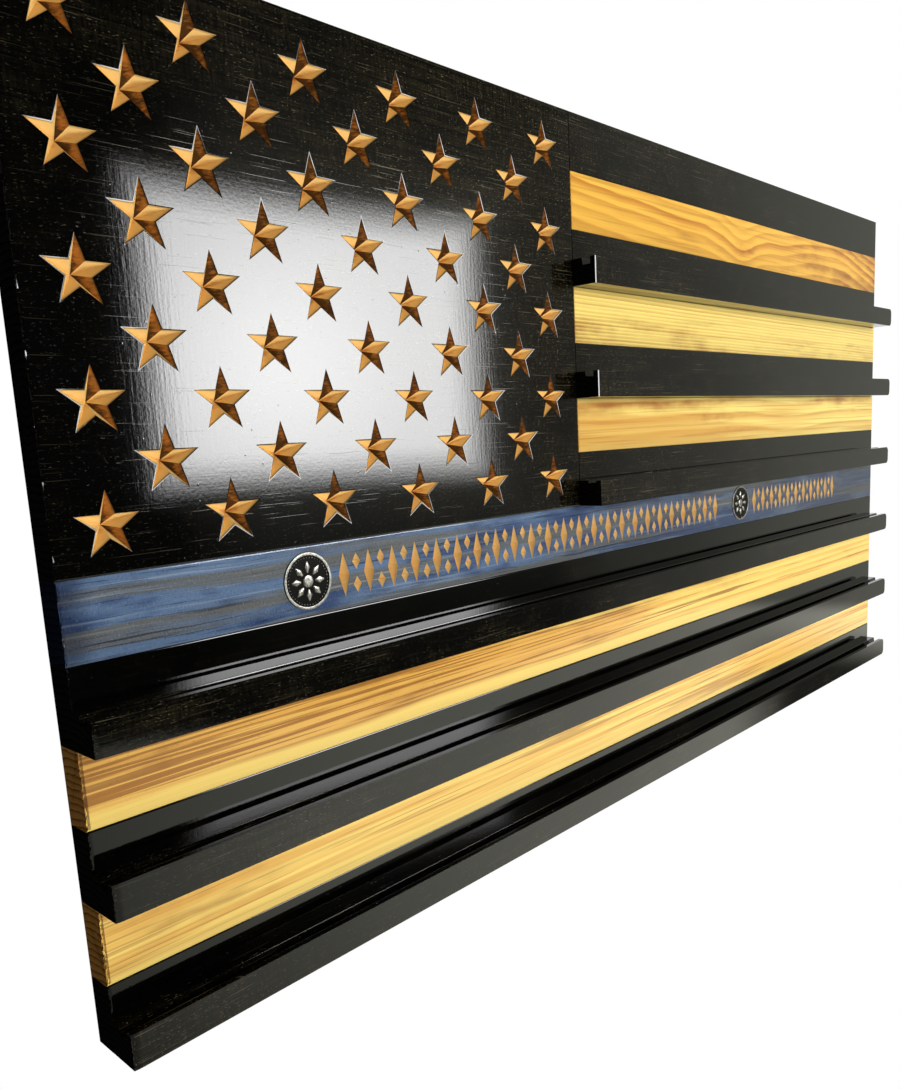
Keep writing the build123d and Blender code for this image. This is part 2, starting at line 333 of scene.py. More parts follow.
@dataclass(frozen=True)
class TorchedPine(WoodFinish):
    """Pine that was burnt with a torch until its late wood browned, under a clear coat; under a ledge, the darker top
    of a stripe is partly painted shadow.
    """

    grain: Grain
    early: Colour
    late: Colour
    burnt: Colour
    ring_depth: float = 0.8
    bands: float = 0.0
    bands_per_metre: float = 110.0
    bands_slope: float = 0.0
    lines: float = 0.3
    burn: float = 0.45
    burn_slope: float = 0.0
    # Change of the burn from the bottom to the top of the stripe; under a ledge its darker top is partly painted
    # shadow.
    burn_and_shade_height: float = 0.0
    mottle: float = 0.5
    fleck: float = 0.05
    clear_below: float = -1.0
    coat: Coat = Coat(roughness=0.12, peel=0.0000012, planer=0.0000004, dust=0.00001, fibre=0.000005)

    def make(self, name: str, middle: Vector) -> bpy.types.Material:
        """Make the material.

        Args:
            name: Name of the material.
            middle: Middle of the board.

        Returns:
            The finished material.
        """
        graph = Graph(name)
        place = self.board_place(graph, middle)
        x, _, z = graph.axes(place)
        seed = self.grain.seed
        dark, chance = self.grain.rings(graph, place)
        streaks = fibres(graph, place, seed)
        sway = graph.product(graph.noise(graph.stretch(place, (7.0, 0.0, 0.0), (seed, 0.0, 0.0)), 2.0), 0.006)
        reached = graph.step(graph.total(z, sway), self.clear_below, self.clear_below + 0.006)
        broad = graph.noise(graph.stretch(place, (1.7, 60.0, self.bands_per_metre), (seed, 0.0, seed)), 3.0, 0.6)
        ring = graph.product(dark, graph.total(graph.product(chance, 0.75), 0.25), self.ring_depth, reached)
        wood = graph.mix(ring, self.early, self.late)
        broad = graph.total(broad, graph.product(x, self.bands_slope))
        wood = graph.mix(graph.product(graph.step(broad, 0.46, 0.58), self.bands, reached), wood, self.late)
        thin = graph.noise(graph.stretch(place, (5.0, 80.0, 420.0), (seed, 1.0, seed)), 2.0, 0.6)
        thin = graph.product(graph.step(graph.total(thin, graph.product(x, self.bands_slope)), 0.53, 0.61), reached)
        wood = graph.mix(graph.product(thin, self.lines), wood, self.burnt)
        wood = graph.mix(graph.product(graph.step(streaks, 0.42, 0.72), 0.18), wood, self.late)
        patches = graph.noise(graph.stretch(place, (6.0, 9.0, 42.0), (seed, 0.0, seed)), 3.0, 0.6)
        cloud = graph.noise(graph.stretch(place, (26.0, 30.0, 60.0), (0.0, seed, seed)), 3.0, 0.6)
        # Burn by place: patches, slopes along and up the stripe and a cloud; the slope up the stripe is partly
        # painted shadow under a ledge.
        heat_and_shade = graph.total(
            patches,
            graph.product(x, self.burn_slope),
            graph.product(z, self.burn_and_shade_height),
            graph.product(graph.math("SUBTRACT", cloud, 0.5), self.mottle),
            self.burn - 0.5,
        )
        scorch_and_shade = graph.product(graph.step(heat_and_shade, 0.40, 0.74), graph.total(graph.product(dark, 0.55), 0.45), reached)
        wood = graph.mix(scorch_and_shade, wood, self.burnt)
        dashes = graph.product(flecks(graph, place, seed, self.fleck), reached, 0.75)
        wood = graph.mix(dashes, wood, self.burnt)
        normal = graph.bump(self.coat.relief(graph, place, streaks))
        return graph.surface(
            Base_Color=wood,
            Roughness=0.5,
            Specular_IOR_Level=0.1,
            Normal=normal,
            Coat_Weight=1.0,
            Coat_Roughness=self.coat.roughness,
            Coat_Normal=normal,
        )


@dataclass(frozen=True)
class BlackStain(WoodFinish):
    """Black stain that lets a little brown grain through, under a gloss coat."""

    seed: float = 0.0
    black: Colour = (0.0008, 0.0008, 0.0007)
    brown: Colour = (0.036, 0.029, 0.014)
    show: float = 0.5
    show_slope: float = 0.0
    show_height: float = 0.0
    scratch: float = 0.15
    mark: Colour = paint(150, 138, 108)
    coat: Coat = Coat()

    def make(self, name: str, middle: Vector) -> bpy.types.Material:
        """Make the material.

        Args:
            name: Name of the material.
            middle: Middle of the board.

        Returns:
            The finished material.
        """
        graph = Graph(name)
        place = self.board_place(graph, middle)
        x, _, z = graph.axes(place)
        streaks = fibres(graph, place, self.seed)
        weave = graph.noise(graph.stretch(place, (800.0, 300.0, 90.0), (self.seed, 0.0, 0.0)), 3.0, 0.6)
        patches = graph.noise(graph.stretch(place, (15.0, 15.0, 24.0), (self.seed, 0.0, self.seed)), 4.0, 0.65)
        bare = graph.step(
            graph.total(
                patches,
                graph.product(x, self.show_slope),
                graph.product(z, self.show_height),
                self.show - 0.5,
            ),
            0.40,
            0.80,
        )
        thread = graph.step(graph.total(graph.product(streaks, 0.55), graph.product(weave, 0.45)), 0.40, 0.75)
        stain = graph.mix(graph.product(bare, thread), self.black, self.brown)
        specks = graph.step(graph.noise(graph.stretch(place, (1000.0, 1000.0, 1100.0)), 0.0), 0.76, 0.84)
        marks = graph.math("MAXIMUM", flecks(graph, place, self.seed, 0.13), graph.product(specks, 0.7))
        scores = graph.product(self.coat.scores(graph, place), 0.5)
        marks = graph.product(graph.math("MAXIMUM", marks, scores), self.scratch)
        stain = graph.mix(graph.product(marks, graph.total(graph.product(bare, 0.8), 0.2)), stain, self.mark)
        height = graph.total(
            self.coat.relief(graph, place, streaks),
            graph.product(flecks(graph, place, self.seed + 3, 0.07), 0.000012 * self.scratch),
        )
        normal = graph.bump(height)
        return graph.surface(
            Base_Color=stain,
            Roughness=0.45,
            Specular_IOR_Level=0.0,
            Normal=normal,
            Coat_Weight=1.0,
            Coat_Roughness=self.coat.roughness,
            Coat_Normal=normal,
        )


@dataclass(frozen=True)
class BlueStain(WoodFinish):
    """Blue stain that the grain took unevenly: navy lines, grey-brown bands and a few vivid patches."""

    blue: Colour = paint(94, 116, 146)
    deep: Colour = paint(46, 66, 106)
    pale: Colour = paint(152, 168, 182)
    umber: Colour = paint(100, 98, 88)
    navy: Colour = paint(18, 26, 46)
    seed: float = 5.0
    coat: Coat = Coat(roughness=0.10)

    def make(self, name: str, middle: Vector) -> bpy.types.Material:
        """Make the material.

        Args:
            name: Name of the material.
            middle: Middle of the board.

        Returns:
            The finished material.
        """
        graph = Graph(name)
        plain = self.board_place(graph, middle)
        x, y, z = graph.axes(plain)
        sway = graph.product(graph.noise(graph.stretch(plain, (9.0, 0.0, 14.0), (self.seed, 0.0, 0.0)), 2.0), 0.005)
        place = graph.vector(x, y, graph.total(z, sway))
        bands = graph.noise(graph.stretch(place, (2.6, 20.0, 125.0), (0.0, self.seed, 0.0)), 2.0, 0.55)
        lines = graph.noise(graph.stretch(place, (6.0, 300.0, 380.0), (self.seed, 0.0, 2.0)), 3.0, 0.65)
        fine = graph.noise(graph.stretch(place, (26.0, 500.0, 1300.0), (self.seed, 1.0, 2.0)), 2.0, 0.6)
        cloud = graph.noise(graph.stretch(place, (16.0, 22.0, 48.0), (self.seed, 0.0, 0.0)), 3.0, 0.6)
        grit = graph.noise(graph.stretch(place, (1100.0, 1100.0, 700.0)), 2.0, 0.7)
        right = graph.step(x, -0.30, 0.10)
        stain = graph.mix(graph.product(graph.step(graph.total(cloud, graph.product(right, 0.12)), 0.46, 0.66), 0.9),
                          self.blue, self.deep)
        stain = graph.mix(graph.product(graph.step(bands, 0.46, 0.56), 0.85), stain, self.umber)
        stain = graph.mix(graph.product(graph.step(lines, 0.54, 0.70), 0.55), stain, self.pale)
        stain = graph.mix(graph.product(graph.step(lines, 0.42, 0.33), 0.80), stain, self.navy)
        stain = graph.mix(graph.product(graph.step(fine, 0.42, 0.33), 0.60), stain, self.navy)
        stain = graph.mix(graph.product(graph.step(grit, 0.55, 0.72), 0.30), stain, self.pale)
        stain = graph.mix(graph.product(graph.step(grit, 0.44, 0.30), 0.45), stain, self.navy)
        stain = graph.mix(graph.product(right, 0.38), stain, self.navy)
        stain = graph.mix(graph.product(graph.step(x, 0.15, 0.40), 0.40), stain, self.navy)
        stain = graph.mix(graph.product(graph.step(x, -0.452, -0.466), 0.6), stain, self.navy)
        normal = graph.bump(self.coat.relief(graph, place, lines))
        return graph.surface(
            Base_Color=stain,
            Roughness=0.45,
            Specular_IOR_Level=0.05,
            Normal=normal,
            Coat_Weight=1.0,
            Coat_Roughness=self.coat.roughness,
            Coat_Normal=normal,
        )


@dataclass(frozen=True)
class CarvedWood(WoodFinish):
    """Wood that a cutter laid open, with painted light and shade on its facets: darkest on those facing left and
    down-left.
    """

    pale: Colour = paint(246, 204, 126)
    warm: Colour = paint(198, 128, 54)
    # Colour that painted shade and the stain under the rim darken the wood towards.
    stain_and_shade: Colour = paint(74, 44, 18)
    seed: float = 2.0
    # Strength of the darkening towards that colour (mostly painted shade), of the paler left columns and of the stain
    # under the rim.
    stain: float = 1.0
    rim_depth: float = 0.0011
    coat_roughness: float = 0.22

    def make(self, name: str, middle: Vector) -> bpy.types.Material:
        """Make the material.

        Args:
            name: Name of the material.
            middle: Middle of the board.

        Returns:
            The finished material.
        """
        graph = Graph(name)
        place = self.board_place(graph, middle)
        x, y, _ = graph.axes(place)
        # Painted light and shade: the tone follows which way each facet faces, palest on facets that face up, down
        # and right, darkest on those facing left and down-left.
        across, _, up = graph.axes(graph.nodes.new("ShaderNodeNewGeometry").outputs["True Normal"])
        upright = graph.math("ABSOLUTE", up)
        painted_facet_light = graph.total(
            0.28,
            graph.product(across, 0.40),
            graph.product(upright, 0.86),
            graph.product(across, up, -0.60),
        )
        streaks = graph.noise(graph.stretch(place, (60.0, 300.0, 900.0), (self.seed, 0.0, 0.0)), 3.0, 0.6)
        cloud = graph.noise(graph.stretch(place, (90.0, 90.0, 120.0), (self.seed, 1.0, 0.0)), 2.0)
        tone = graph.total(
            painted_facet_light,
            graph.product(graph.math("SUBTRACT", streaks, 0.5), 0.9),
            graph.product(graph.math("SUBTRACT", cloud, 0.5), 0.5),
            # Paler near the front and darker deeper in the pocket: partly stain, partly painted shade.
            graph.product(graph.step(y, 0.0085, 0.0005), 0.42),
            graph.product(graph.step(x, -0.08, -0.17), 0.20 * self.stain),
            -0.20,
        )
        wood = graph.mix(graph.step(tone, 0.50, 1.0), self.warm, self.pale)
        # Painted shade: the darkest tones go towards the stain-and-shade colour.
        dark = graph.product(graph.step(tone, 0.52, 0.10), self.stain)
        wood = graph.mix(dark, wood, self.stain_and_shade)
        # Stain that soaked in just under the rim.
        edge = graph.product(graph.step(y, self.rim_depth, self.rim_depth / 3), 0.45 * self.stain)
        wood = graph.mix(edge, wood, self.stain_and_shade)
        normal = graph.bump(graph.product(streaks, 0.00002))
        return graph.surface(
            Base_Color=wood,
            Roughness=0.45,
            Specular_IOR_Level=0.1,
            Normal=normal,
            Coat_Weight=0.5,
            Coat_Roughness=self.coat_roughness,
            Coat_Normal=normal,
        )


@dataclass(frozen=True)
class EndGrain(WoodFinish):
    """Sawn end of a board: open pores, ring arcs and saw scratches."""

    pale: Colour
    dark: Colour
    seed: float = 1.0
    sheen: float = 0.0

    def make(self, name: str, middle: Vector) -> bpy.types.Material:
        """Make the material.

        Args:
            name: Name of the material.
            middle: Middle of the board.

        Returns:
            The finished material.
        """
        graph = Graph(name)
        place = self.board_place(graph, middle)
        _, y, z = graph.axes(place)
        low = graph.total(z, 0.055)
        side = graph.math("SUBTRACT", y, 0.006)
        radius = graph.math("SQRT", graph.total(graph.math("MULTIPLY", low, low), graph.math("MULTIPLY", side, side)))
        wander = graph.noise(graph.stretch(place, (60.0, 90.0, 90.0), (self.seed, 0.0, 0.0)), 2.0)
        within = graph.math("FRACT", graph.total(graph.product(radius, 280.0), wander))
        dark = graph.curve(within, ((0.0, 0.0), (0.6, 0.35), (0.9, 1.0), (1.0, 0.0)))
        pores = graph.noise(graph.stretch(place, (900.0, 1500.0, 1500.0)), 2.0, 0.7)
        saw = graph.noise(graph.stretch(place, (300.0, 900.0, 140.0), (self.seed, 1.0, 0.0)), 2.0, 0.6)
        tone = graph.total(graph.product(dark, 0.45), graph.product(pores, 0.35), graph.product(saw, 0.35))
        wood = graph.mix(graph.step(tone, 0.25, 0.95), self.pale, self.dark)
        height = graph.total(graph.product(pores, 0.00006), graph.product(saw, 0.00010))
        normal = graph.bump(height)
        return graph.surface(
            Base_Color=wood,
            Roughness=0.65,
            Specular_IOR_Level=self.sheen,
            Normal=normal,
        )


@dataclass(frozen=True)
class BarePine(WoodFinish):
    """Sanded pine with no coat, as the backs and battens are left."""

    grain: Grain = Grain(spacing=0.0042, heart_depth=0.02, heart_height=-0.015, dive=0.03, wave=0.003, seed=8.0)
    pale: Colour = paint(226, 196, 150)
    late: Colour = paint(196, 150, 98)
    upright: bool = False

    def make(self, name: str, middle: Vector) -> bpy.types.Material:
        """Make the material.

        Args:
            name: Name of the material.
            middle: Middle of the board.

        Returns:
            The finished material.
        """
        graph = Graph(name)
        place = self.board_place(graph, middle)
        if self.upright:
            x, y, z = graph.axes(place)
            place = graph.vector(z, y, x)
        dark, chance = self.grain.rings(graph, place)
        streaks = fibres(graph, place, self.grain.seed)
        ring = graph.product(dark, graph.total(graph.product(chance, 0.5), 0.4))
        wood = graph.mix(ring, self.pale, self.late)
        wood = graph.mix(graph.product(graph.step(streaks, 0.4, 0.75), 0.3), wood, self.late)
        fuzz = graph.noise(graph.stretch(place, (120.0, 1300.0, 1300.0)), 2.0)
        normal = graph.bump(graph.total(graph.product(streaks, 0.00003), graph.product(fuzz, 0.00002)))
        return graph.surface(Base_Color=wood, Roughness=0.7, Specular_IOR_Level=0.3, Normal=normal)


# Metal and rubber


@dataclass(frozen=True)
class Metal:
    """Worn metal whose hollows stay dark."""

    bright: Colour
    dull: Colour
    roughness: float
    patch: float = 260.0
    scratch: float = 0.000006
    hollow: tuple[float, float] | None = None

    def make(self, name: str) -> bpy.types.Material:
        """Make the material under the given name; hollow is the depth range over which it goes dull."""
        graph = Graph(name)
        patches = graph.noise(graph.stretch(graph.place, (self.patch,) * 3), 3.0, 0.6)
        fine = graph.noise(graph.stretch(graph.place, (1500.0, 1500.0, 300.0)), 2.0)
        tone = graph.step(graph.total(graph.product(patches, 0.7), graph.product(fine, 0.3)), 0.35, 0.65)
        if self.hollow:
            _, y, _ = graph.axes(graph.place)
            tone = graph.product(graph.total(graph.product(tone, 0.6), 0.4), graph.step(y, *self.hollow))
        return graph.surface(
            Base_Color=graph.mix(tone, self.dull, self.bright),
            Metallic=1.0,
            Roughness=self.roughness,
            Normal=graph.bump(graph.product(fine, self.scratch)),
        )


@dataclass(frozen=True)
class Rubber:
    """Matt black rubber with a fine moulded texture."""

    colour: Colour = paint(34, 34, 35)

    def make(self, name: str) -> bpy.types.Material:
        """Make the material under the given name."""
        graph = Graph(name)
        grit = graph.noise(graph.stretch(graph.place, (2200.0,) * 3), 2.0, 0.6)
        dusty = graph.step(graph.noise(graph.stretch(graph.place, (180.0,) * 3), 3.0), 0.45, 0.75)
        return graph.surface(
            Base_Color=graph.mix(graph.product(dusty, 0.25), self.colour, paint(86, 84, 80)),
            Roughness=0.75,
            Normal=graph.bump(graph.product(grit, 0.00002)),
        )


# Modelling by hand


class Element(Enum):
    """What a selection is made of."""

    POINTS = "VERT"
    EDGES = "EDGE"
    FACES = "FACE"


class Bench:
    """The modelling steps that the pieces share: pick something, then press an operator."""

    @staticmethod
    def take(*pieces: bpy.types.Object) -> None:
        """Select these objects alone, the first of them active."""
        bpy.ops.object.select_all(action="DESELECT")
        for piece in pieces:
            piece.select_set(True)
        bpy.context.view_layer.objects.active = pieces[0]

    @staticmethod
    def start(name: str) -> bpy.types.Object:
        """Name the primitive that was just added and bake its place into its mesh."""
        piece = bpy.context.active_object
        piece.name = name
        piece.data.name = name
        Bench.take(piece)
        bpy.ops.object.transform_apply(location=True, rotation=True, scale=True)
        return piece

    @staticmethod
    @contextmanager
    def edit(piece: bpy.types.Object) -> Iterator[None]:
        """Keep a piece in edit mode for the steps inside."""
        Bench.take(piece)
        bpy.ops.object.mode_set(mode="EDIT")
        bpy.ops.mesh.select_all(action="DESELECT")
        yield
        bpy.ops.object.mode_set(mode="OBJECT")

    @staticmethod
    def pick(piece: bpy.types.Object, kind: Element, test: Test) -> int:
        """Select what passes a test in edit mode, and nothing else.

        Args:
            piece: The object in edit mode.
            kind: Points, edges or faces.
            test: Whether one of them is wanted.

        Returns:
            How many were selected.
        """
        bpy.ops.mesh.select_mode(type=kind.value)
        bpy.ops.mesh.select_all(action="DESELECT")
        mesh = bmesh.from_edit_mesh(piece.data)
        kinds = {Element.POINTS: mesh.verts, Element.EDGES: mesh.edges, Element.FACES: mesh.faces}
        wanted = [element for element in kinds[kind] if test(element)]
        for element in wanted:
            element.select_set(True)
        bmesh.update_edit_mesh(piece.data)
        return len(wanted)

    @staticmethod
    def pull(x: float = 0.0, y: float = 0.0, z: float = 0.0) -> None:
        """Extrude the selected faces or edges by a move."""
        bpy.ops.mesh.extrude_region_move(TRANSFORM_OT_translate={"value": (x, y, z)})

    @staticmethod
    def scale(factors: Sequence[float], centre: Sequence[float]) -> None:
        """Scale the selection about a point."""
        bpy.ops.transform.resize(value=factors, center_override=centre)

    @staticmethod
    def round_edges(width: float, segments: int, profile: float = 0.5) -> None:
        """Round the selected edges."""
        bpy.ops.mesh.bevel(offset=width, segments=segments, affect="EDGES", profile=profile, clamp_overlap=True)

    @staticmethod
    def slab(name: str, low: Vector, high: Vector) -> bpy.types.Object:
        """Cube primitive between two corners, as a blank to be shaped."""
        size = high - low
        bpy.ops.mesh.primitive_cube_add(size=1.0, location=(low + high) / 2, scale=size)
        return Bench.start(name)

    @staticmethod
    def copy_to(piece: bpy.types.Object, place: Sequence[float]) -> bpy.types.Object:
        """Copy of a piece with its own mesh, moved by a vector."""
        twin = piece.copy()
        twin.data = piece.data.copy()
        bpy.context.collection.objects.link(twin)
        twin.location = place
        Bench.take(twin)
        bpy.ops.object.transform_apply(location=True, rotation=False, scale=False)
        return twin

    @staticmethod
    def merge(pieces: Sequence[bpy.types.Object], name: str) -> bpy.types.Object:
        """Join several objects into one."""
        Bench.take(*pieces)
        bpy.ops.object.join()
        piece = bpy.context.active_object
        piece.name = name
        piece.data.name = name
        return piece

    @staticmethod
    def carve(piece: bpy.types.Object, tool: bpy.types.Object) -> None:
        """Cut a tool out of a piece and throw the tool away."""
        cut = piece.modifiers.new("carve", "BOOLEAN")
        cut.object = tool
        cut.operation = "DIFFERENCE"
        cut.solver = "EXACT"
        cut.material_mode = "TRANSFER"
        Bench.take(piece)
        bpy.ops.object.modifier_apply(modifier=cut.name)
        bpy.data.objects.remove(tool, do_unlink=True)

    @staticmethod
    def wear(piece: bpy.types.Object, corner: Vector, reach: float, offset: float, cuts: int, seed: int) -> None:
        """Chip the upright edge at a left front corner: points along it move a little, each its own way.

        Args:
            piece: Board or ledge whose edge is already rounded.
            corner: Its low corner: the edge stands at this x and y.
            reach: How far from the corner the rounded edge goes.
            offset: Largest move of a point.
            cuts: Points added along the edge.
            seed: Start of the random moves.
        """
        def near(point: object) -> bool:
            return point.co.x < corner.x + reach and point.co.y < corner.y + reach

        with Bench.edit(piece):
            bpy.ops.mesh.select_all(action="SELECT")
            bpy.ops.mesh.bisect(plane_co=(corner.x + 2 * reach, 0, 0), plane_no=(1, 0, 0))
            tall = [
                max(point.co.z for point in face.verts) - min(point.co.z for point in face.verts)
                for face in bmesh.from_edit_mesh(piece.data).faces if all(near(point) for point in face.verts)
            ]
            if not tall:
                return
            length = 0.8 * max(tall)
            Bench.pick(
                piece, Element.EDGES,
                lambda edge: all(near(point) for point in edge.verts)
                and abs(edge.verts[0].co.z - edge.verts[1].co.z) > length,
            )
            bpy.ops.mesh.subdivide(number_cuts=cuts)
            low = min(point.co.z for point in piece_points(piece) if near(point)) + reach
            high = max(point.co.z for point in piece_points(piece) if near(point)) - reach
            Bench.pick(piece, Element.POINTS, lambda point: near(point) and low < point.co.z < high)
            bpy.ops.transform.translate(value=(offset, offset, 0))
            bpy.ops.transform.vertex_random(offset=offset, uniform=0.0, normal=0.0, seed=seed)

    @staticmethod
    def smooth(piece: bpy.types.Object, degrees: float) -> None:
        """Shade a piece smooth, except over sharp edges, and keep its large faces flat."""
        Bench.take(piece)
        bpy.ops.object.shade_smooth_by_angle(angle=math.radians(degrees))
        weigh = piece.modifiers.new("weigh", "WEIGHTED_NORMAL")
        weigh.weight = 100
        weigh.keep_sharp = True
        bpy.ops.object.modifier_apply(modifier=weigh.name)


def piece_points(piece: bpy.types.Object) -> list:
    """Points of a piece in edit mode."""
    return list(bmesh.from_edit_mesh(piece.data).verts)


def flat_at(element: object, axis: int, value: float) -> bool:
    """Whether an edge or face lies at one value of an axis."""
    return all(abs(point.co[axis] - value) < SAME for point in element.verts)


@dataclass(frozen=True)
class PointedCutter:
    """Vee cutter and the softened rim that sanding and coating leave round its pockets."""

    angle: float = math.radians(60)
    rim: float = 0.0005
    rim_lean: float = math.radians(24)
    rim_steps: int = 3
    overrun: float = 0.001

    def tool(
        self, name: str, sides: int, radius: float, stretch: float, notch: float, finishes: Sequence[object]
    ) -> bpy.types.Object:
        """Pyramid that cuts one pocket, its rim in the plane y = 0 and its tip behind it.

        Args:
            name: Name of the object.
            sides: Corners of the outline.
            radius: Half the outline's width.
            stretch: Height of the outline over its width.
            notch: Radius of every second corner over the radius, or 1 for a plain outline.
            finishes: Materials of the pocket and of its rim.

        Returns:
            The tool, which is copied to each place.
        """
        if notch < 1.0:
            inner = radius * math.sin(math.radians(18))
        else:
            inner = radius * stretch / math.hypot(1.0, stretch)
        depth = inner / math.tan(self.angle / 2)
        bpy.ops.mesh.primitive_cone_add(
            vertices=sides, radius1=radius, radius2=0.0, depth=depth,
            location=(0, depth / 2, 0), rotation=(-math.pi / 2, 0, 0),
        )
        piece = Bench.start(name)
        for finish in finishes:
            piece.data.materials.append(finish)
        turn = math.tau / sides
        curve = self.rim / math.sin(self.rim_lean)
        sunk = curve * (1 - math.cos(self.rim_lean))

        def is_notch(point: object) -> bool:
            steps = (math.atan2(point.co.z, point.co.x) + math.pi / 2) / turn
            return abs(point.co.y) < SAME and round(steps) % 2 == 0

        with Bench.edit(piece):
            if notch < 1.0:
                Bench.pick(piece, Element.POINTS, is_notch)
                Bench.scale((notch, 1.0, notch), (0, 0, 0))
            Bench.pick(piece, Element.POINTS, lambda point: abs(point.co.y) < SAME)
            Bench.scale((1.0, 1.0, stretch), (0, 0, 0))
            out = 0.0
            level = 0.0
            Bench.pick(piece, Element.FACES, lambda face: flat_at(face, 1, 0.0))
            for step in range(self.rim_steps, -1, -1):
                lean = self.rim_lean * step / self.rim_steps
                new_out = self.rim - curve * math.sin(lean) - sunk * math.tan(self.angle / 2)
                new_level = curve * (1 - math.cos(lean))
                factor = (inner + new_out) / (inner + out)
                if step == self.rim_steps:
                    bpy.ops.transform.translate(value=(0, new_level - level, 0))
                else:
                    Bench.pull(y=new_level - level)
                Bench.scale((factor, 1.0, factor), (0, new_level, 0))
                out, level = new_out, new_level
            Bench.pull(y=-self.overrun)
        for polygon in piece.data.polygons:
            if polygon.center.y < curve * (1 - math.cos(self.rim_lean)) - SAME / 10:
                polygon.material_index = 1
        return piece

    def cut(self, piece: bpy.types.Object, tool: bpy.types.Object, places: Sequence[tuple[float, float]]) -> None:
        """Cut copies of a tool into a piece's front face and throw the tool away."""
        copies = [Bench.copy_to(tool, (x, FRONT_Y, z)) for x, z in places]
        Bench.carve(piece, Bench.merge(copies, tool.name + "_gang"))
        bpy.data.objects.remove(tool, do_unlink=True)


# The wooden pieces


class Face(Enum):
    """Faces of a board that are finished differently, in the order of its material slots."""

    FRONT = 0
    CARVED = 1
    END = 2
    BACK = 3


@dataclass
class Board:
    """One flat board: a slab with sanded front edges, whose ends and back have their own finishes."""

    node: str
    front: WoodFinish
    end: WoodFinish
    ease: float = 0.0009
    ease_segments: int = 4
    ease_profile: float = 0.66
    pocket_finish: WoodFinish = field(default_factory=CarvedWood)
    ends: tuple[float, float] = (0.0, 0.0)
    worn: bool = False
    chip: float = 0.00035
    chip_seed: int = 0

    def materials(self, middle: Vector) -> list[bpy.types.Material]:
        """Materials in the order of Face."""
        return [
            self.front.make(self.node + "_front", middle),
            self.pocket_finish.make(self.node + "_carved", middle),
            self.end.make(self.node + "_end", middle),
            BarePine().make(self.node + "_back", middle),
        ]

    def carve(self, piece: bpy.types.Object, finishes: Sequence[bpy.types.Material]) -> None:
        """Cut what this board's front holds: nothing on a plain board.

        Args:
            piece: The board.
            finishes: Materials of a pocket and of its rim.
        """

    def build(self) -> bpy.types.Object:
        """Model the board and dress it.

        Returns:
            The piece, which stands for its node.
        """
        low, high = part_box(self.node)
        self.ends = (low.x, high.x)
        piece = Bench.slab(self.node + "_wood", low, high)
        with Bench.edit(piece):
            Bench.pick(piece, Element.EDGES, lambda edge: flat_at(edge, 1, low.y))
            Bench.round_edges(self.ease, self.ease_segments, self.ease_profile)
        middle = (low + high) / 2
        dressed = self.materials(middle)
        for material in dressed:
            piece.data.materials.append(material)
        self.carve(piece, (dressed[Face.CARVED.value], dressed[Face.FRONT.value]))
        if self.worn:
            Bench.wear(piece, low, 1.2 * self.ease, self.chip, round((high.z - low.z) / 0.0015), int(self.chip_seed))
        self.dress(piece, high.y)
        Bench.smooth(piece, 26)
        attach(piece, "plaque")
        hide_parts(self.node)
        return piece

    def dress(self, piece: bpy.types.Object, back_y: float) -> None:
        """Give the sawn ends and the back their material slots."""
        for polygon in piece.data.polygons:
            beside = min(abs(polygon.center.x - x) for x in self.ends)
            if abs(polygon.normal.x) > 0.3 and beside < self.ease:
                polygon.material_index = Face.END.value
            elif polygon.normal.y > 0.97 and abs(polygon.center.y - back_y) < SAME:
                polygon.material_index = Face.BACK.value


@dataclass
class StarPanel(Board):
    """The star panel: fifty pointed pockets in rows of six and five."""

    rows: int = 9
    columns: int = 11
    star_radius: float = 0.016
    first: tuple[float, float] = (0.027, 0.0279)
    pitch: tuple[float, float] = (0.032, 0.0271)
    cutter: PointedCutter = PointedCutter()

    def carve(self, piece: bpy.types.Object, finishes: Sequence[bpy.types.Material]) -> None:
        """Cut the star field."""
        low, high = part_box(self.node)
        notch = math.sin(math.radians(18)) / math.sin(math.radians(54))
        star = self.cutter.tool("star_cutter", 10, self.star_radius, 1.0, notch, finishes)
        places = [
            (low.x + self.first[0] + column * self.pitch[0], high.z - self.first[1] - row * self.pitch[1])
            for row in range(self.rows)
            for column in range(row % 2, self.columns, 2)
        ]
        self.cutter.cut(piece, star, places)


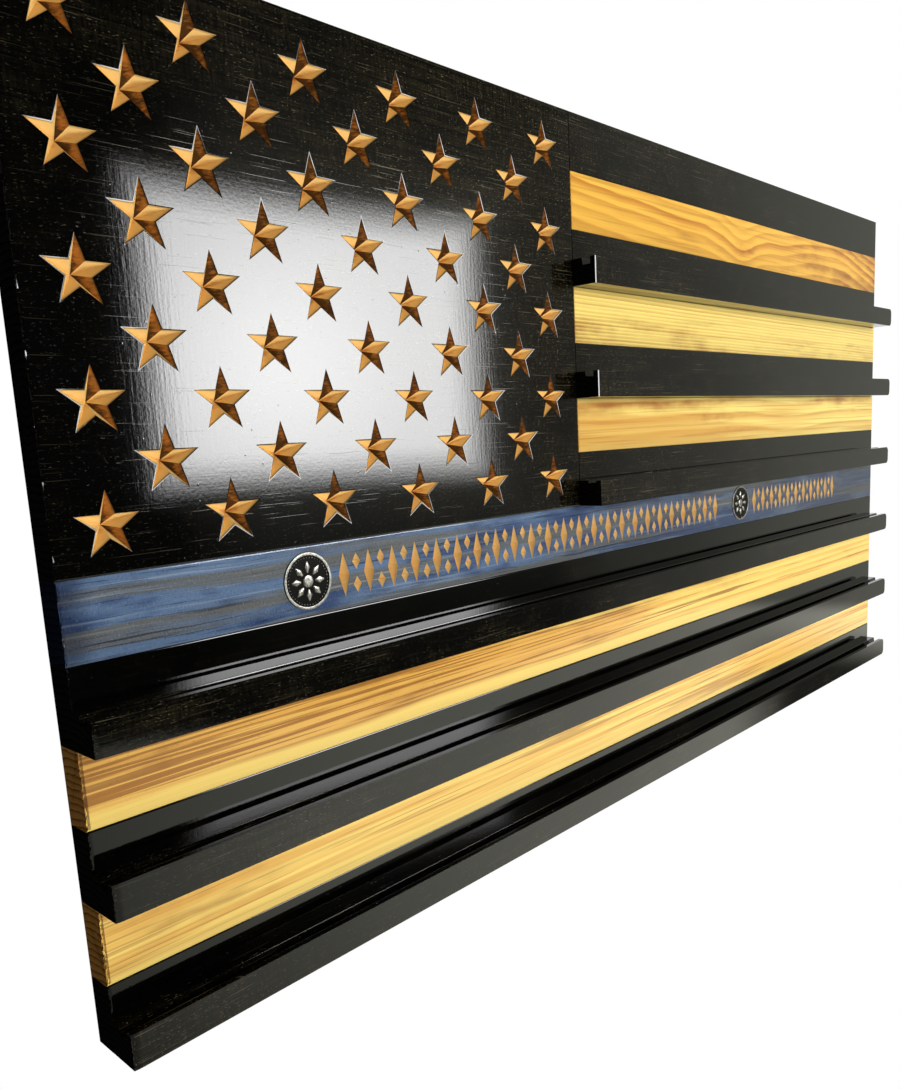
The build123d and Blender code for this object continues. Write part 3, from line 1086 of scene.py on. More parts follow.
@dataclass
class CarvedStripe(Board):
    """The blue stripe: a chip-carved band in two spans and two recesses for medallions."""

    spans: tuple[tuple[float, float], ...] = ((0.152, 0.578), (0.641, 0.834))
    pitch: float = 0.0181
    tall: tuple[float, float] = (0.0076, 0.025)
    small: tuple[float, float] = (0.0058, 0.0094)
    small_rise: float = 0.0066
    cutter: PointedCutter = PointedCutter(rim=0.0003)
    recess_fit: float = 0.00015
    recess_depth: float = 0.002
    medallions: tuple[str, ...] = ("medallion_left", "medallion_right")

    def lozenge(
        self, name: str, size: tuple[float, float], finishes: Sequence[bpy.types.Material]
    ) -> bpy.types.Object:
        """Tool for a lozenge pocket of a width and height."""
        return self.cutter.tool(name, 4, size[0] / 2, size[1] / size[0], 1.0, finishes)

    def carve(self, piece: bpy.types.Object, finishes: Sequence[bpy.types.Material]) -> None:
        """Cut the band of lozenges and the recesses."""
        low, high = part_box(self.node)
        middle_z = (low.z + high.z) / 2
        tall_places = []
        small_places = []
        for start, end in self.spans:
            count = int((end - start - self.tall[0]) / self.pitch) + 1
            first = low.x + (start + end - (count - 1) * self.pitch) / 2
            tall_places += [(first + step * self.pitch, middle_z) for step in range(count)]
            small_places += [
                (first + (step + 0.5) * self.pitch, middle_z + rise)
                for step in range(count - 1)
                for rise in (self.small_rise, -self.small_rise)
            ]
        self.cutter.cut(piece, self.lozenge("tall_cutter", self.tall, finishes), tall_places)
        self.cutter.cut(piece, self.lozenge("small_cutter", self.small, finishes), small_places)
        for node in self.medallions:
            disc_low, disc_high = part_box(node)
            middle = (disc_low + disc_high) / 2
            radius = (disc_high.x - disc_low.x) / 2 + self.recess_fit
            bpy.ops.mesh.primitive_cylinder_add(
                vertices=96, radius=radius, depth=2 * self.recess_depth,
                location=(middle.x, FRONT_Y, middle.z), rotation=(math.pi / 2, 0, 0),
            )
            tool = Bench.start("recess_cutter")
            tool.data.materials.append(finishes[0])
            Bench.carve(piece, tool)


@dataclass
class Ledge:
    """Coin ledge: a square strip with a groove along its top, rounded where the coat pools."""

    node: str
    front: WoodFinish
    end: WoodFinish
    groove_width: float = 0.00635
    groove_depth: float = 0.0048
    lip: float = 0.0042
    front_ease: float = 0.0013
    groove_lean: float = math.radians(10)
    groove_ease: float = 0.0005
    corner: float = 0.0048
    worn: bool = False
    chip: float = 0.00045
    sanded: tuple[float, ...] = (0.0045, 0.0022)
    end_sunk: float = 0.00045

    def build(self) -> bpy.types.Object:
        """Model the ledge from its end section and dress it.

        Returns:
            The piece, which stands for its node.
        """
        low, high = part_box(self.node)
        floor = high.z - self.groove_depth
        lip_back = low.y + self.lip
        groove_back = lip_back + self.groove_width
        bpy.ops.mesh.primitive_plane_add(
            size=1.0, location=(low.x, (low.y + high.y) / 2, (low.z + floor) / 2), rotation=(0, math.pi / 2, 0),
            scale=(1.0, 1.0, 1.0),
        )
        section = bpy.context.active_object
        section.scale = (floor - low.z, high.y - low.y, 1.0)
        piece = Bench.start(self.node + "_wood")
        with Bench.edit(piece):
            for cut_y in (lip_back, groove_back):
                bpy.ops.mesh.select_all(action="SELECT")
                bpy.ops.mesh.bisect(plane_co=(low.x, cut_y, floor), plane_no=(0, 1, 0))
            for start, end in ((low.y, lip_back), (groove_back, high.y)):
                Bench.pick(
                    piece, Element.EDGES,
                    lambda edge: flat_at(edge, 2, floor)
                    and all(start - SAME < point.co.y < end + SAME for point in edge.verts),
                )
                Bench.pull(z=self.groove_depth)
            bpy.ops.mesh.select_all(action="SELECT")
            bpy.ops.mesh.remove_doubles(threshold=SAME / 4)
            Bench.pull(x=high.x - low.x)
            bpy.ops.mesh.select_all(action="SELECT")
            bpy.ops.mesh.normals_make_consistent(inside=False)
            bpy.ops.mesh.dissolve_limited(angle_limit=math.radians(1))
            Bench.pick(
                piece, Element.EDGES, lambda edge: flat_at(edge, 1, groove_back) and flat_at(edge, 2, high.z)
            )
            groove_back += self.groove_depth * math.tan(self.groove_lean)
            bpy.ops.transform.translate(value=(0, self.groove_depth * math.tan(self.groove_lean), 0))
            self.ease(piece, low, high, lip_back, groove_back)
        if self.worn:
            Bench.wear(piece, low, 1.2 * self.front_ease, self.chip, 9, int(1000 * high.z) % 97)
        middle = (low + high) / 2
        for material in (
            self.front.make(self.node + "_front", middle), self.end.make(self.node + "_end", middle)
        ):
            piece.data.materials.append(material)
        for polygon in piece.data.polygons:
            if abs(polygon.normal.x) > 0.94:
                polygon.material_index = 1
        Bench.smooth(piece, 40)
        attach(piece, "plaque")
        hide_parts(self.node)
        return piece

    def ease(
        self, piece: bpy.types.Object, low: Vector, high: Vector, lip_back: float, groove_back: float
    ) -> None:
        """Round the right-end corners, sand the left end over, then ease the groove and the outline."""
        Bench.pick(
            piece, Element.EDGES,
            lambda edge: flat_at(edge, 0, high.x)
            and (
                flat_at(edge, 2, low.z)
                or (flat_at(edge, 2, high.z) and all(point.co.y < lip_back + SAME for point in edge.verts))
            ),
        )
        Bench.round_edges(self.corner, 5)
        for reach in self.sanded:
            bpy.ops.mesh.select_all(action="SELECT")
            bpy.ops.mesh.bisect(plane_co=(low.x + reach, 0, 0), plane_no=(1, 0, 0))
        for reach in (*self.sanded, 0.0):
            Bench.pick(
                piece, Element.POINTS,
                lambda point: abs(point.co.y - low.y) < SAME and abs(point.co.x - low.x - reach) < SAME,
            )
            sunk = self.end_sunk * (1 - reach / self.sanded[0]) ** 2
            bpy.ops.transform.translate(value=(0, sunk, 0))

        def along(edge: object, y: float, z: float) -> bool:
            return flat_at(edge, 1, y) and flat_at(edge, 2, z)

        def outer(edge: object) -> bool:
            if all(point.co.y < low.y + 2 * self.end_sunk for point in edge.verts):
                return edge.calc_face_angle(0.0) > 0.7
            lip_top = flat_at(edge, 2, high.z) and all(point.co.y < lip_back + SAME for point in edge.verts)
            return flat_at(edge, 0, low.x) and (lip_top or flat_at(edge, 2, low.z))

        Bench.pick(
            piece, Element.EDGES, lambda edge: along(edge, lip_back, high.z) or along(edge, groove_back, high.z)
        )
        Bench.round_edges(self.groove_ease, 3)
        Bench.pick(piece, Element.EDGES, outer)
        Bench.round_edges(self.front_ease, 4)


# The metal pieces


@dataclass
class Medallion:
    """Cast disc in the blue stripe: a rim, a ring of beads and an eight-petalled rosette round a boss."""

    node: str
    finish: bpy.types.Material
    rim: float = 0.0016
    relief: float = 0.00045
    boss_radius: float = 0.0036
    beads: int = 44
    bead_radius: float = 0.00042
    bead_circle: float = 0.0128
    petals: int = 8
    petal_size: tuple[float, float, float] = (0.0020, 0.0006, 0.0034)
    petal_circle: float = 0.0076

    def disc(self, low: Vector, high: Vector) -> bpy.types.Object:
        """The disc with its rim, sunk field and boss."""
        middle = (low + high) / 2
        radius = (high.x - low.x) / 2
        bpy.ops.mesh.primitive_cylinder_add(
            vertices=72, radius=radius, depth=high.y - low.y, location=middle, rotation=(math.pi / 2, 0, 0)
        )
        piece = Bench.start(self.node + "_cast")
        with Bench.edit(piece):
            Bench.pick(piece, Element.FACES, lambda face: flat_at(face, 1, low.y))
            bpy.ops.mesh.inset(thickness=self.rim, depth=0)
            Bench.pull(y=self.relief)
            bpy.ops.mesh.inset(thickness=radius - self.rim - self.boss_radius, depth=0)
            for rise, share in ((0.45, 0.94), (0.35, 0.80), (0.20, 0.55)):
                Bench.pull(y=-rise * self.relief)
                Bench.scale((share, 1.0, share), middle)
            Bench.pick(piece, Element.EDGES, lambda edge: flat_at(edge, 1, low.y) and len(edge.link_faces) == 2
                       and any(abs(face.normal.y) < 0.3 for face in edge.link_faces))
            Bench.round_edges(0.00025, 2)
        return piece

    def ornament(self, name: str, size: Sequence[float], point: bool) -> bpy.types.Object:
        """One bead or petal: half of a ball, its tips drawn in for a petal."""
        bpy.ops.mesh.primitive_uv_sphere_add(segments=10, ring_count=6, radius=1.0, scale=size)
        piece = Bench.start(name)
        with Bench.edit(piece):
            bpy.ops.mesh.select_all(action="SELECT")
            bpy.ops.mesh.bisect(plane_co=(0, 0, 0), plane_no=(0, 1, 0), clear_outer=True)
            if point:
                for side in (-1, 1):
                    Bench.pick(piece, Element.POINTS, lambda spot: 0.4 < side * spot.co.z / size[2] < 0.98)
                    Bench.scale((0.62, 0.8, 1.0), (0, 0, 0))
        return piece

    def round_copies(
        self, piece: bpy.types.Object, count: int, circle: float, centre: Vector
    ) -> list[bpy.types.Object]:
        """Copies of an ornament round the disc, each turned to point outwards."""
        copies = []
        for step in range(count):
            turn = math.tau * step / count
            place = centre + Vector((circle * math.sin(turn), 0, circle * math.cos(turn)))
            twin = Bench.copy_to(piece, (0, 0, 0))
            twin.rotation_euler = (0, turn, 0)
            twin.location = place
            Bench.take(twin)
            bpy.ops.object.transform_apply(location=True, rotation=True, scale=False)
            copies.append(twin)
        bpy.data.objects.remove(piece, do_unlink=True)
        return copies

    def build(self) -> bpy.types.Object:
        """Model the medallion.

        Returns:
            The piece, which stands for its node.
        """
        low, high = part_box(self.node)
        piece = self.disc(low, high)
        centre = Vector(((low.x + high.x) / 2, low.y + self.relief, (low.z + high.z) / 2))
        bead = self.ornament("bead", (self.bead_radius,) * 3, point=False)
        petal = self.ornament("petal", self.petal_size, point=True)
        parts = self.round_copies(bead, self.beads, self.bead_circle, centre)
        parts += self.round_copies(petal, self.petals, self.petal_circle, centre)
        piece = Bench.merge([piece] + parts, self.node + "_cast")
        piece.data.materials.clear()
        piece.data.materials.append(self.finish)
        Bench.smooth(piece, 35)
        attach(piece, "plaque")
        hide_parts(self.node)
        return piece


@dataclass
class ScrewSet:
    """Screws of one kind: a turned blank with a cross recess, copied to each place."""

    node: str
    finish: bpy.types.Material
    places: Sequence[tuple[float, float]]
    profile: Sequence[tuple[float, float]]
    recess: tuple[float, float, float] = (0.0021, 0.0005, 0.0014)

    def blank(self) -> bpy.types.Object:
        """One screw along the Y axis, from its head down through each (radius, y) of the profile."""
        radius, top = self.profile[0]
        bpy.ops.mesh.primitive_circle_add(
            vertices=24, radius=radius, fill_type="NGON", location=(0, top, 0), rotation=(math.pi / 2, 0, 0)
        )
        piece = Bench.start(self.node + "_turned")
        with Bench.edit(piece):
            bpy.ops.mesh.select_all(action="SELECT")
            for new_radius, level in self.profile[1:]:
                Bench.pull(y=level - top)
                Bench.scale((new_radius / radius, 1.0, new_radius / radius), (0, 0, 0))
                radius, top = new_radius, level
            bpy.ops.mesh.select_all(action="SELECT")
            bpy.ops.mesh.normals_make_consistent(inside=False)
        return piece

    def cross(self) -> bpy.types.Object:
        """Tool for the cross recess: two crossed blades that narrow towards the bottom."""
        reach, half, depth = self.recess
        top = self.profile[0][1]
        blades = []
        for size in ((reach, half), (half, reach)):
            blade = Bench.slab(
                "recess_blade", Vector((-size[0], top - depth, -size[1])), Vector((size[0], top + depth, size[1]))
            )
            with Bench.edit(blade):
                Bench.pick(blade, Element.FACES, lambda face: flat_at(face, 1, top - depth))
                Bench.scale((0.5, 1.0, 0.5), (0, 0, 0))
            blades.append(blade)
        return blades

    def build(self) -> bpy.types.Object:
        """Model the screws.

        Returns:
            The piece, which stands for its node.
        """
        screw = self.blank()
        for blade in self.cross():
            Bench.carve(screw, blade)
        copies = [Bench.copy_to(screw, (x, 0.0, z)) for x, z in self.places]
        bpy.data.objects.remove(screw, do_unlink=True)
        piece = Bench.merge(copies, self.node + "_turned")
        piece.data.materials.clear()
        piece.data.materials.append(self.finish)
        Bench.smooth(piece, 30)
        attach(piece, "plaque")
        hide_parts(self.node)
        return piece


@dataclass
class WireRing:
    """D ring bent from round wire: its bar lies in the strap's fold and its bow hangs below."""

    side: str
    finish: bpy.types.Material
    pivot: tuple[float, float, float]
    wire: float = 0.0012
    half_width: float = 0.00945
    leg: float = 0.008
    corner: float = 0.0022
    tilt: float = math.radians(3.417)

    def build(self) -> bpy.types.Object:
        """Model the ring from the wire's section.

        Returns:
            The piece, which stands for its node and turns with its own body.
        """
        inner = self.half_width - self.corner
        bpy.ops.mesh.primitive_circle_add(
            vertices=16, radius=self.wire, fill_type="NOTHING", location=(-inner, 0, 0), rotation=(0, math.pi / 2, 0)
        )
        piece = Bench.start(f"hanger_ring_{self.side}_wire")

        def bend(angle: float, x: float, z: float, steps: int) -> None:
            bpy.ops.mesh.spin(steps=steps, angle=math.radians(angle), center=(x, 0, z), axis=(0, -1, 0))

        with Bench.edit(piece):
            bpy.ops.mesh.select_all(action="SELECT")
            bpy.ops.mesh.extrude_region_move(TRANSFORM_OT_translate={"value": (2 * inner, 0, 0)})
            bend(90, inner, -self.corner, 6)
            Bench.pull(z=self.corner - self.leg)
            bend(180, 0, -self.leg, 20)
            Bench.pull(z=self.leg - self.corner)
            bend(90, -inner, -self.corner, 6)
            bpy.ops.mesh.select_all(action="SELECT")
            bpy.ops.mesh.remove_doubles(threshold=SAME)
            bpy.ops.mesh.normals_make_consistent(inside=False)
        piece.rotation_euler = (self.tilt, 0, 0)
        piece.location = self.pivot
        Bench.take(piece)
        bpy.ops.object.transform_apply(location=True, rotation=True, scale=False)
        piece.data.materials.append(self.finish)
        Bench.smooth(piece, 40)
        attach(piece, f"ring_{self.side}")
        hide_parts(f"hanger_ring_{self.side}")
        return piece


# The studio


@dataclass(frozen=True)
class Sky:
    """Screen round the front that only reflections see: a soft window of light in a dim room.

    Directions are degrees seen from the mirrored camera: azimuth from the wall's normal to the right, and height.
    """

    radius: float = 2.4
    lowest: float = math.radians(-44)
    window_azimuth: tuple[float, float] = (28.6, 46.8)
    window_height: tuple[float, float] = (-1.7, 14.2)
    window_tilt: float = 0.14
    window_edge: float = 1.5
    window_strength: float = 12.5
    hot_spot: tuple[float, float] = (35.0, 4.6)
    hot_width: float = 8.0
    hot_strength: float = 7.5
    glow: float = 0.45
    glow_width: float = 4.0
    glow_azimuth: tuple[float, float] = (28.0, 35.0)
    dim: float = 0.015
    wall: float = 0.26
    wall_azimuth: tuple[float, float] = (50.5, 57.0)
    far_wall: float = 0.2
    far_wall_azimuth: tuple[float, float] = (57.0, 66.0)
    ground: float = 1.4
    ground_line: tuple[float, float] = (-16.3, -10.8)
    ground_line_azimuth: tuple[float, float] = (38.0, 60.0)
    ground_azimuth: tuple[float, float] = (14.0, 42.0)
    ground_height: tuple[float, float] = (-38.0, -22.0)
    shade_azimuth: tuple[float, float] = (60.5, 65.0)
    shade_height: tuple[float, float] = (-11.5, -14.5)
    warm: Colour = (1.0, 1.0, 0.86)
    centre: tuple[float, float, float] = (-0.633, 0.372, 0.033)

    def strength(self, graph: Graph) -> tuple[bpy.types.NodeSocket, bpy.types.NodeSocket]:
        """Radiance by direction, of the window and of the room round it."""
        x, y, z = graph.axes(graph.stretch(graph.place, (1.0, 1.0, 1.0), [-c for c in self.centre]))
        degree = 180 / math.pi
        azimuth = graph.product(graph.math("ARCTAN2", x, graph.product(y, -1.0)), degree)
        level = graph.math("SQRT", graph.total(graph.math("MULTIPLY", x, x), graph.math("MULTIPLY", y, y)))
        height = graph.product(graph.math("ARCTAN2", z, level), degree)

        def outside(value: object, span: tuple[float, float]) -> bpy.types.NodeSocket:
            return graph.math(
                "MAXIMUM", graph.math("SUBTRACT", span[0], value), graph.math("SUBTRACT", value, span[1])
            )

        tilted = graph.total(
            height, graph.product(graph.math("SUBTRACT", azimuth, self.window_azimuth[0]), self.window_tilt)
        )
        over = graph.math("SUBTRACT", tilted, self.window_height[1])
        under = graph.math("SUBTRACT", self.window_height[0], height)
        beyond = graph.math("MAXIMUM", outside(azimuth, self.window_azimuth), graph.math("MAXIMUM", over, under))
        off_x = graph.product(graph.math("SUBTRACT", azimuth, self.hot_spot[0]), 1 / self.hot_width)
        off_z = graph.product(graph.math("SUBTRACT", height, self.hot_spot[1]), 1 / self.hot_width)
        spread = graph.total(graph.math("MULTIPLY", off_x, off_x), graph.math("MULTIPLY", off_z, off_z))
        hot = graph.product(graph.math("POWER", math.e, graph.product(spread, -1.0)), self.hot_strength)
        inside = graph.step(graph.product(beyond, -1.0), -self.window_edge, self.window_edge)
        window = graph.product(inside, graph.total(hot, self.window_strength))
        halo = graph.product(
            graph.math("POWER", math.e, graph.product(graph.math("MAXIMUM", beyond, 0.0), -1 / self.glow_width)),
            graph.step(azimuth, *self.glow_azimuth),
            self.glow,
        )
        wall = graph.total(
            graph.product(graph.step(azimuth, *self.wall_azimuth), self.wall),
            graph.product(graph.step(azimuth, *self.far_wall_azimuth), self.far_wall),
        )
        rise = graph.product(
            graph.step(azimuth, *self.ground_line_azimuth), self.ground_line[1] - self.ground_line[0]
        )
        above = graph.math("SUBTRACT", height, graph.total(rise, self.ground_line[0]))
        ground = graph.product(
            graph.total(graph.product(graph.step(azimuth, *self.ground_azimuth), 0.65), 0.35),
            graph.total(graph.product(graph.step(height, *self.ground_height), 0.6), 0.4),
            self.ground,
        )
        shade = graph.product(graph.step(azimuth, *self.shade_azimuth), graph.step(height, *self.shade_height))
        ground = graph.product(ground, graph.math("SUBTRACT", 1.0, graph.product(shade, 0.95)))
        below = graph.step(graph.product(above, -1.0), -0.5, 0.5)
        room = graph.total(halo, wall, self.dim)
        return window, graph.total(
            graph.product(room, graph.math("SUBTRACT", 1.0, below)), graph.product(ground, below)
        )

    def material(self) -> bpy.types.Material:
        """Emission that depends on the direction from the middle of the screen."""
        graph = Graph("sky")
        window, room = self.strength(graph)
        red, green, blue = (graph.total(window, graph.product(room, share)) for share in self.warm)
        emission = graph.nodes.new("ShaderNodeEmission")
        graph.links.new(graph.vector(red, green, blue), emission.inputs["Color"])
        graph.links.new(emission.outputs[0], graph.output.inputs["Surface"])
        graph.material.cycles.emission_sampling = "NONE"
        return graph.material

    def build(self) -> bpy.types.Object:
        """Model the screen as the front part of a sphere, seen only by reflections."""
        bpy.ops.mesh.primitive_uv_sphere_add(segments=64, ring_count=32, radius=self.radius, location=self.centre)
        screen = Bench.start("sky")
        floor = self.centre[2] + self.radius * math.sin(self.lowest)
        with Bench.edit(screen):
            bpy.ops.mesh.select_all(action="SELECT")
            bpy.ops.mesh.bisect(plane_co=(0, 0, floor), plane_no=(0, 0, 1), clear_inner=True)
            bpy.ops.mesh.select_all(action="SELECT")
            bpy.ops.mesh.bisect(plane_co=(0, 0.05, 0), plane_no=(0, 1, 0), clear_outer=True)
        screen.data.materials.append(self.material())
        screen.visible_camera = False
        screen.visible_diffuse = False
        screen.visible_transmission = False
        screen.visible_shadow = False
        return screen


@dataclass(frozen=True)
class Lamp:
    """Soft rectangular lamp that reflections do not see."""

    name: str
    place: tuple[float, float, float]
    aim: tuple[float, float, float]
    size: tuple[float, float]
    power: float

    def build(self) -> None:
        """Hang the lamp."""
        light = bpy.data.lights.new(self.name, "AREA")
        light.shape = "RECTANGLE"
        light.size, light.size_y = self.size
        light.energy = self.power
        lamp = bpy.data.objects.new(self.name, light)
        lamp.location = self.place
        lamp.rotation_euler = (Vector(self.aim) - Vector(self.place)).to_track_quat("-Z", "Y").to_euler()
        lamp.visible_glossy = False
        bpy.context.scene.collection.objects.link(lamp)


@dataclass(frozen=True)
class Studio:
    """Pale floor, white background, soft light and the camera."""

    floor_z: float = -1.9
    floor_size: float = 9.0
    ambient: float = 0.12
    camera_place: tuple[float, float, float] = (-0.6331, -0.4388, 0.0328)
    camera_turn: tuple[float, float, float] = (80.176, 2.752, -47.94)
    lens: float = 30.614
    sensor: float = 36.0
    shift: tuple[float, float] = (-0.0401, 0.0465)
    lamps: tuple[Lamp, ...] = (
        Lamp("key", (1.05, -2.1, 0.40), (0.0, 0.0, 0.0), (1.1, 0.8), 42.0),
        Lamp("bounce", (0.35, -1.3, -1.5), (0.0, 0.0, 0.0), (1.0, 0.8), 25.0),
    )

    def build_world(self) -> None:
        """White background that lights the object only a little."""
        world = bpy.data.worlds.new("backdrop")
        bpy.context.scene.world = world
        world.use_nodes = True
        nodes = world.node_tree.nodes
        links = world.node_tree.links
        background = nodes["Background"]
        background.inputs["Color"].default_value = (1.0, 1.0, 1.0, 1.0)
        path = nodes.new("ShaderNodeLightPath")
        strength: object = self.ambient
        for name in ("Is Camera Ray", "Is Glossy Ray", "Is Transmission Ray"):
            larger = nodes.new("ShaderNodeMath")
            larger.operation = "MAXIMUM"
            links.new(path.outputs[name], larger.inputs[0])
            if isinstance(strength, float):
                larger.inputs[1].default_value = strength
            else:
                links.new(strength, larger.inputs[1])
            strength = larger.outputs[0]
        links.new(strength, background.inputs["Strength"])

    def build_floor(self) -> None:
        """Pale floor well below the plaque: white where it is seen, matt where light falls on it."""
        bpy.ops.mesh.primitive_plane_add(size=self.floor_size, location=(0, 0, self.floor_z))
        floor = Bench.start("floor")
        graph = Graph("floor")
        path = graph.nodes.new("ShaderNodeLightPath")
        seen = graph.math("MAXIMUM", path.outputs["Is Camera Ray"], path.outputs["Is Glossy Ray"])
        seen = graph.math("MAXIMUM", seen, path.outputs["Is Transmission Ray"])
        matt = graph.nodes.new("ShaderNodeBsdfDiffuse")
        matt.inputs["Color"].default_value = (0.8, 0.8, 0.79, 1.0)
        white = graph.nodes.new("ShaderNodeEmission")
        blend = graph.nodes.new("ShaderNodeMixShader")
        graph.links.new(seen, blend.inputs[0])
        graph.links.new(matt.outputs[0], blend.inputs[1])
        graph.links.new(white.outputs[0], blend.inputs[2])
        graph.links.new(blend.outputs[0], graph.output.inputs["Surface"])
        floor.data.materials.append(graph.material)

    def build_camera(self) -> None:
        """Camera at the photograph's place and framing."""
        lens = bpy.data.cameras.new("camera")
        lens.lens = self.lens
        lens.sensor_width = self.sensor
        lens.shift_x, lens.shift_y = self.shift
        lens.clip_start = 0.01
        camera = bpy.data.objects.new("camera", lens)
        camera.location = self.camera_place
        camera.rotation_euler = [math.radians(turn) for turn in self.camera_turn]
        bpy.context.scene.collection.objects.link(camera)
        bpy.context.scene.camera = camera

    def build(self) -> None:
        """Set the whole studio up."""
        bpy.context.scene.view_settings.view_transform = "Standard"
        self.build_world()
        self.build_floor()
        Sky().build()
        for lamp in self.lamps:
            lamp.build()
        self.build_camera()


# The plaque


class Plaque:
    """The whole plaque: its boards, ledges, medallions and the hardware at the back."""

    joint_offset = 0.012
    torched_end = EndGrain(pale=paint(192, 134, 58), dark=paint(58, 30, 8), sheen=0.02)
    black_end = EndGrain((0.010, 0.0095, 0.0085), (0.0008, 0.0008, 0.0008))

    def stripe_finishes(self) -> dict[int, WoodFinish]:
        """Finish of each stripe's front, by its number from the top."""
        gold = paint(255, 220, 116)
        straw = paint(255, 230, 128)
        # Stripes 6, 10 and 12 hang under ledges: a positive burn-and-shade height darkens their tops, partly burn and
        # partly painted shadow.
        return {
            2: TorchedPine(
                Grain(
                    0.0082, 0.016, -0.046, slope=0.062, wave=0.0042, wave_length=0.085,
                    swells=(Swell(0.17, 0.13, 0.027), Swell(-0.035, 0.028, -0.009)), seed=3.0,
                ),
                paint(255, 198, 78), paint(190, 108, 26), paint(136, 66, 14), ring_depth=0.95, lines=0.25,
                burn=0.38, burn_slope=0.6, mottle=0.5,
            ),
            4: TorchedPine(
                Grain(0.0024, 0.03, 0.06, slope=0.008, wave=0.0012, wave_length=0.2, seed=11.0),
                straw, paint(206, 144, 56), paint(160, 98, 32), ring_depth=0.8, lines=0.2, burn=0.41,
                burn_slope=-0.3, burn_and_shade_height=-5.0, fleck=0.11,
            ),
            6: TorchedPine(
                Grain(
                    0.0125, 0.006, -0.030, slope=-0.006, dive=0.01, wave=0.003, wave_length=0.12,
                    swells=(Swell(0.06, 0.07, -0.009), Swell(0.02, 0.12, 0.004)), seed=21.0,
                ),
                straw, paint(208, 136, 46), paint(164, 98, 34), ring_depth=1.0, bands=0.5,
                bands_per_metre=45.0, lines=0.3, burn=0.38, burn_and_shade_height=6.0, mottle=0.45,
            ),
            10: TorchedPine(
                Grain(0.0052, 0.02, -0.030, slope=-0.004, wave=0.0016, wave_length=0.3, seed=31.0),
                gold, paint(212, 132, 42), paint(122, 62, 12), ring_depth=0.7, bands=0.5, bands_slope=-0.20,
                lines=0.7, burn=0.37, burn_slope=-0.12, burn_and_shade_height=8.0, mottle=0.3, fleck=0.12,
                clear_below=-0.010,
            ),
            12: TorchedPine(
                Grain(0.0068, 0.022, 0.040, slope=0.012, wave=0.0018, wave_length=0.3, seed=41.0),
                gold, paint(214, 140, 46), paint(138, 78, 20), ring_depth=0.8, bands=0.45, lines=0.5,
                burn=0.38, burn_slope=-0.1, burn_and_shade_height=5.0, mottle=0.3, clear_below=-0.015,
            ),
        }

    def build_boards(self) -> None:
        """Make the star panel and the thirteen stripes."""
        panel = StarPanel(
            "union_panel",
            BlackStain(
                1.0, show=0.56, show_slope=0.8, show_height=1.0, scratch=0.75,
                coat=Coat(peel=0.000009, planer=0.000014, dust=0.00003, score=0.000004),
            ),
            self.black_end, worn=True,
        )
        log.info("made %s", panel.build().name)
        finishes = self.stripe_finishes()
        for number in range(1, STRIPES + 1):
            node = f"stripe_{number:02d}"
            worn = number >= BLUE_STRIPE
            if number == BLUE_STRIPE:
                board = CarvedStripe(
                    node, BlueStain(), EndGrain(pale=paint(26, 32, 48), dark=paint(10, 11, 15)),
                    worn=worn,
                    # The lozenges take pale colours with faint painted facet light and shade and little stain under
                    # the rim.
                    pocket_finish=CarvedWood(paint(250, 226, 168), paint(242, 202, 138), stain=0.08),
                )
            elif number in finishes:
                board = Board(node, finishes[number], self.torched_end, worn=worn, chip=0.0006, chip_seed=number)
            elif worn:
                board = Board(node, BlackStain(7.0 + number, show=0.42), self.black_end, worn=worn, chip_seed=number)
            else:
                stain = BlackStain(7.0 + number, show=0.50, show_slope=-0.7, scratch=0.75)
                board = Board(node, stain, self.black_end)
            log.info("made %s", board.build().name)

    def build_ledges(self) -> None:
        """Make the six coin ledges."""
        for number in LEDGE_STRIPES:
            long = number > BLUE_STRIPE
            stain = BlackStain(30.0 + number, show=0.46, show_slope=-0.2 if long else -0.7, scratch=0.55)
            ledge = Ledge(f"coin_ledge_{number:02d}", stain, self.black_end, worn=long)
            if not long:
                ledge.front_ease, ledge.sanded, ledge.end_sunk = 0.0006, (0.0022, 0.0010), 0.0002
            log.info("made %s", ledge.build().name)

    def screw_places(self) -> list[tuple[float, float]]:
        """Places of the batten screws: between the stars and on the stripes' middle lines."""
        panel_low, panel_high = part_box("union_panel")

        def star(row: int) -> float:
            return panel_high.z - StarPanel.first[1] - row * StarPanel.pitch[1]

        def stripe(number: int) -> float:
            low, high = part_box(f"stripe_{number:02d}")
            return (low.z + high.z) / 2

        left, joint, right = (
            sum(corner.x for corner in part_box(f"batten_{name}")) / 2 for name in ("left", "joint", "right")
        )
        return [
            *((left, star(row)) for row in (0, 8)),
            *((left, stripe(number)) for number in (10, 13)),
            *((joint - self.joint_offset, star(row)) for row in (1, 5)),
            *((joint + self.joint_offset, stripe(number)) for number in (2, 6)),
            (joint, stripe(13)),
            *((right, stripe(number)) for number in (1, 7, 13)),
        ]

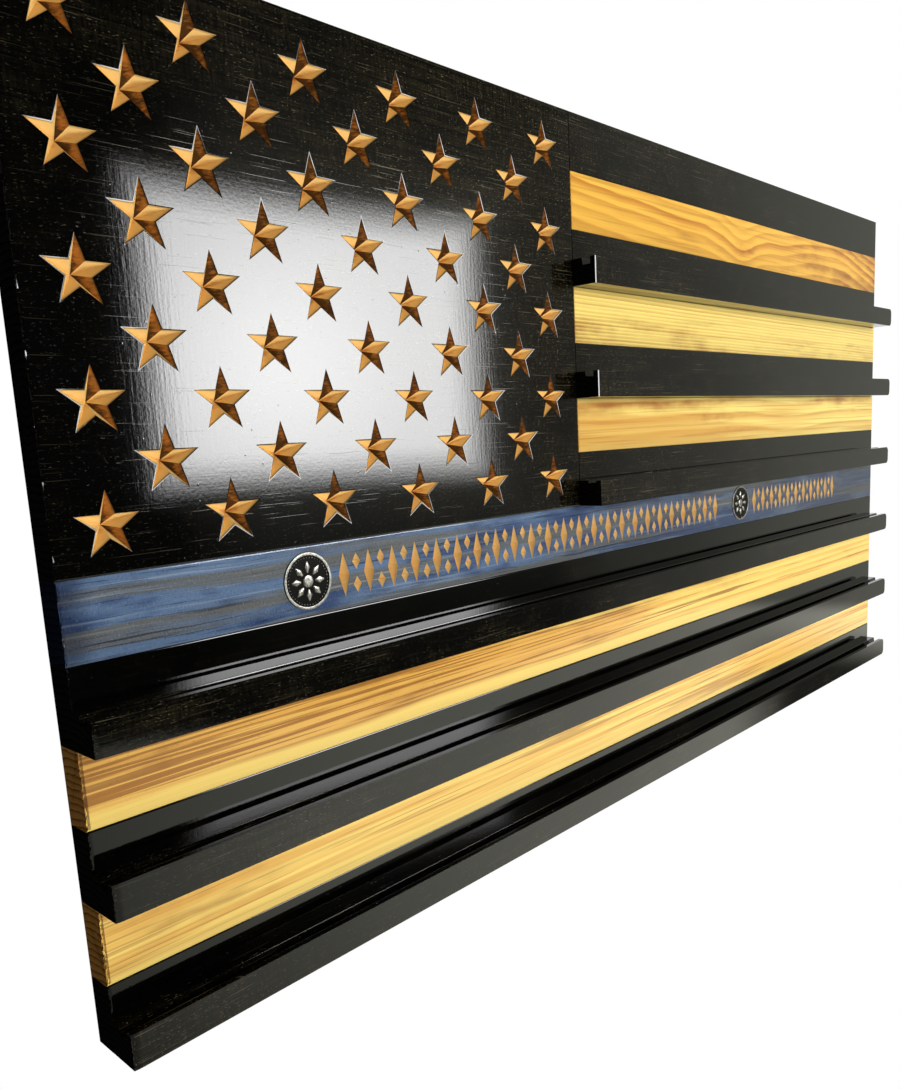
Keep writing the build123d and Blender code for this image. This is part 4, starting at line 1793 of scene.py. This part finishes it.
    def build_hardware(self) -> None:
        """Make the medallions, screws and rings, and dress the battens, straps and bumpers."""
        zinc = Metal(paint(206, 208, 212), paint(150, 152, 156), 0.32).make("zinc")
        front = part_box("medallion_left")[0].y
        pewter = Metal(
            paint(170, 168, 160), paint(20, 20, 19), 0.34, patch=900.0, hollow=(front + 0.0004, front + 0.0001)
        ).make("pewter")
        for node in ("medallion_left", "medallion_right"):
            log.info("made %s", Medallion(node, pewter).build().name)
        head_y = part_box("batten_left")[1].y
        sunk = ScrewSet(
            "batten_screws", zinc, self.screw_places(),
            ((0.0039, head_y), (0.00175, head_y - 0.00215), (0.00175, head_y - 0.018), (0.0003, head_y - 0.021)),
        )
        log.info("made %s", sunk.build().name)
        over_y = head_y + 0.0016
        for side in ("left", "right"):
            low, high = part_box(f"hanger_strap_{side}")
            x = (low.x + high.x) / 2
            pivot = (x, head_y + 0.00206, high.z - 0.00206)
            log.info("made %s", WireRing(side, zinc, pivot).build().name)
        strap_x = [sum(corner.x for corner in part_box(f"hanger_strap_{side}")) / 2 for side in ("left", "right")]
        raised = ScrewSet(
            "hanger_screws", zinc, [(x, pivot[2] - drop) for x in strap_x for drop in (0.0245, 0.035)],
            (
                (0.0016, over_y + 0.0020), (0.0026, over_y + 0.0018), (0.0032, over_y + 0.0013),
                (0.0035, over_y + 0.0006), (0.0035, over_y), (0.00175, over_y), (0.00175, over_y - 0.0102),
                (0.0003, over_y - 0.0127),
            ),
            recess=(0.0018, 0.00045, 0.0012),
        )
        log.info("made %s", raised.build().name)
        rubber = Rubber().make("rubber")
        for node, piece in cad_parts.items():
            if node in ("batten_left", "batten_joint", "batten_right"):
                low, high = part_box(node)
                material = BarePine(upright=True).make(node + "_pine", (low + high) / 2)
            elif node == "wall_bumpers":
                material = rubber
            elif node.startswith("hanger_strap"):
                material = zinc
            else:
                continue
            piece.data.materials.clear()
            piece.data.materials.append(material)

    def build(self) -> None:
        """Build every sub-assembly."""
        self.build_boards()
        self.build_ledges()
        self.build_hardware()


def main() -> None:
    """Build the studio and the plaque."""
    logging.basicConfig(level=logging.INFO, format="%(name)s: %(message)s")
    Studio().build()
    Plaque().build()


if __name__ == "__main__":
    main()
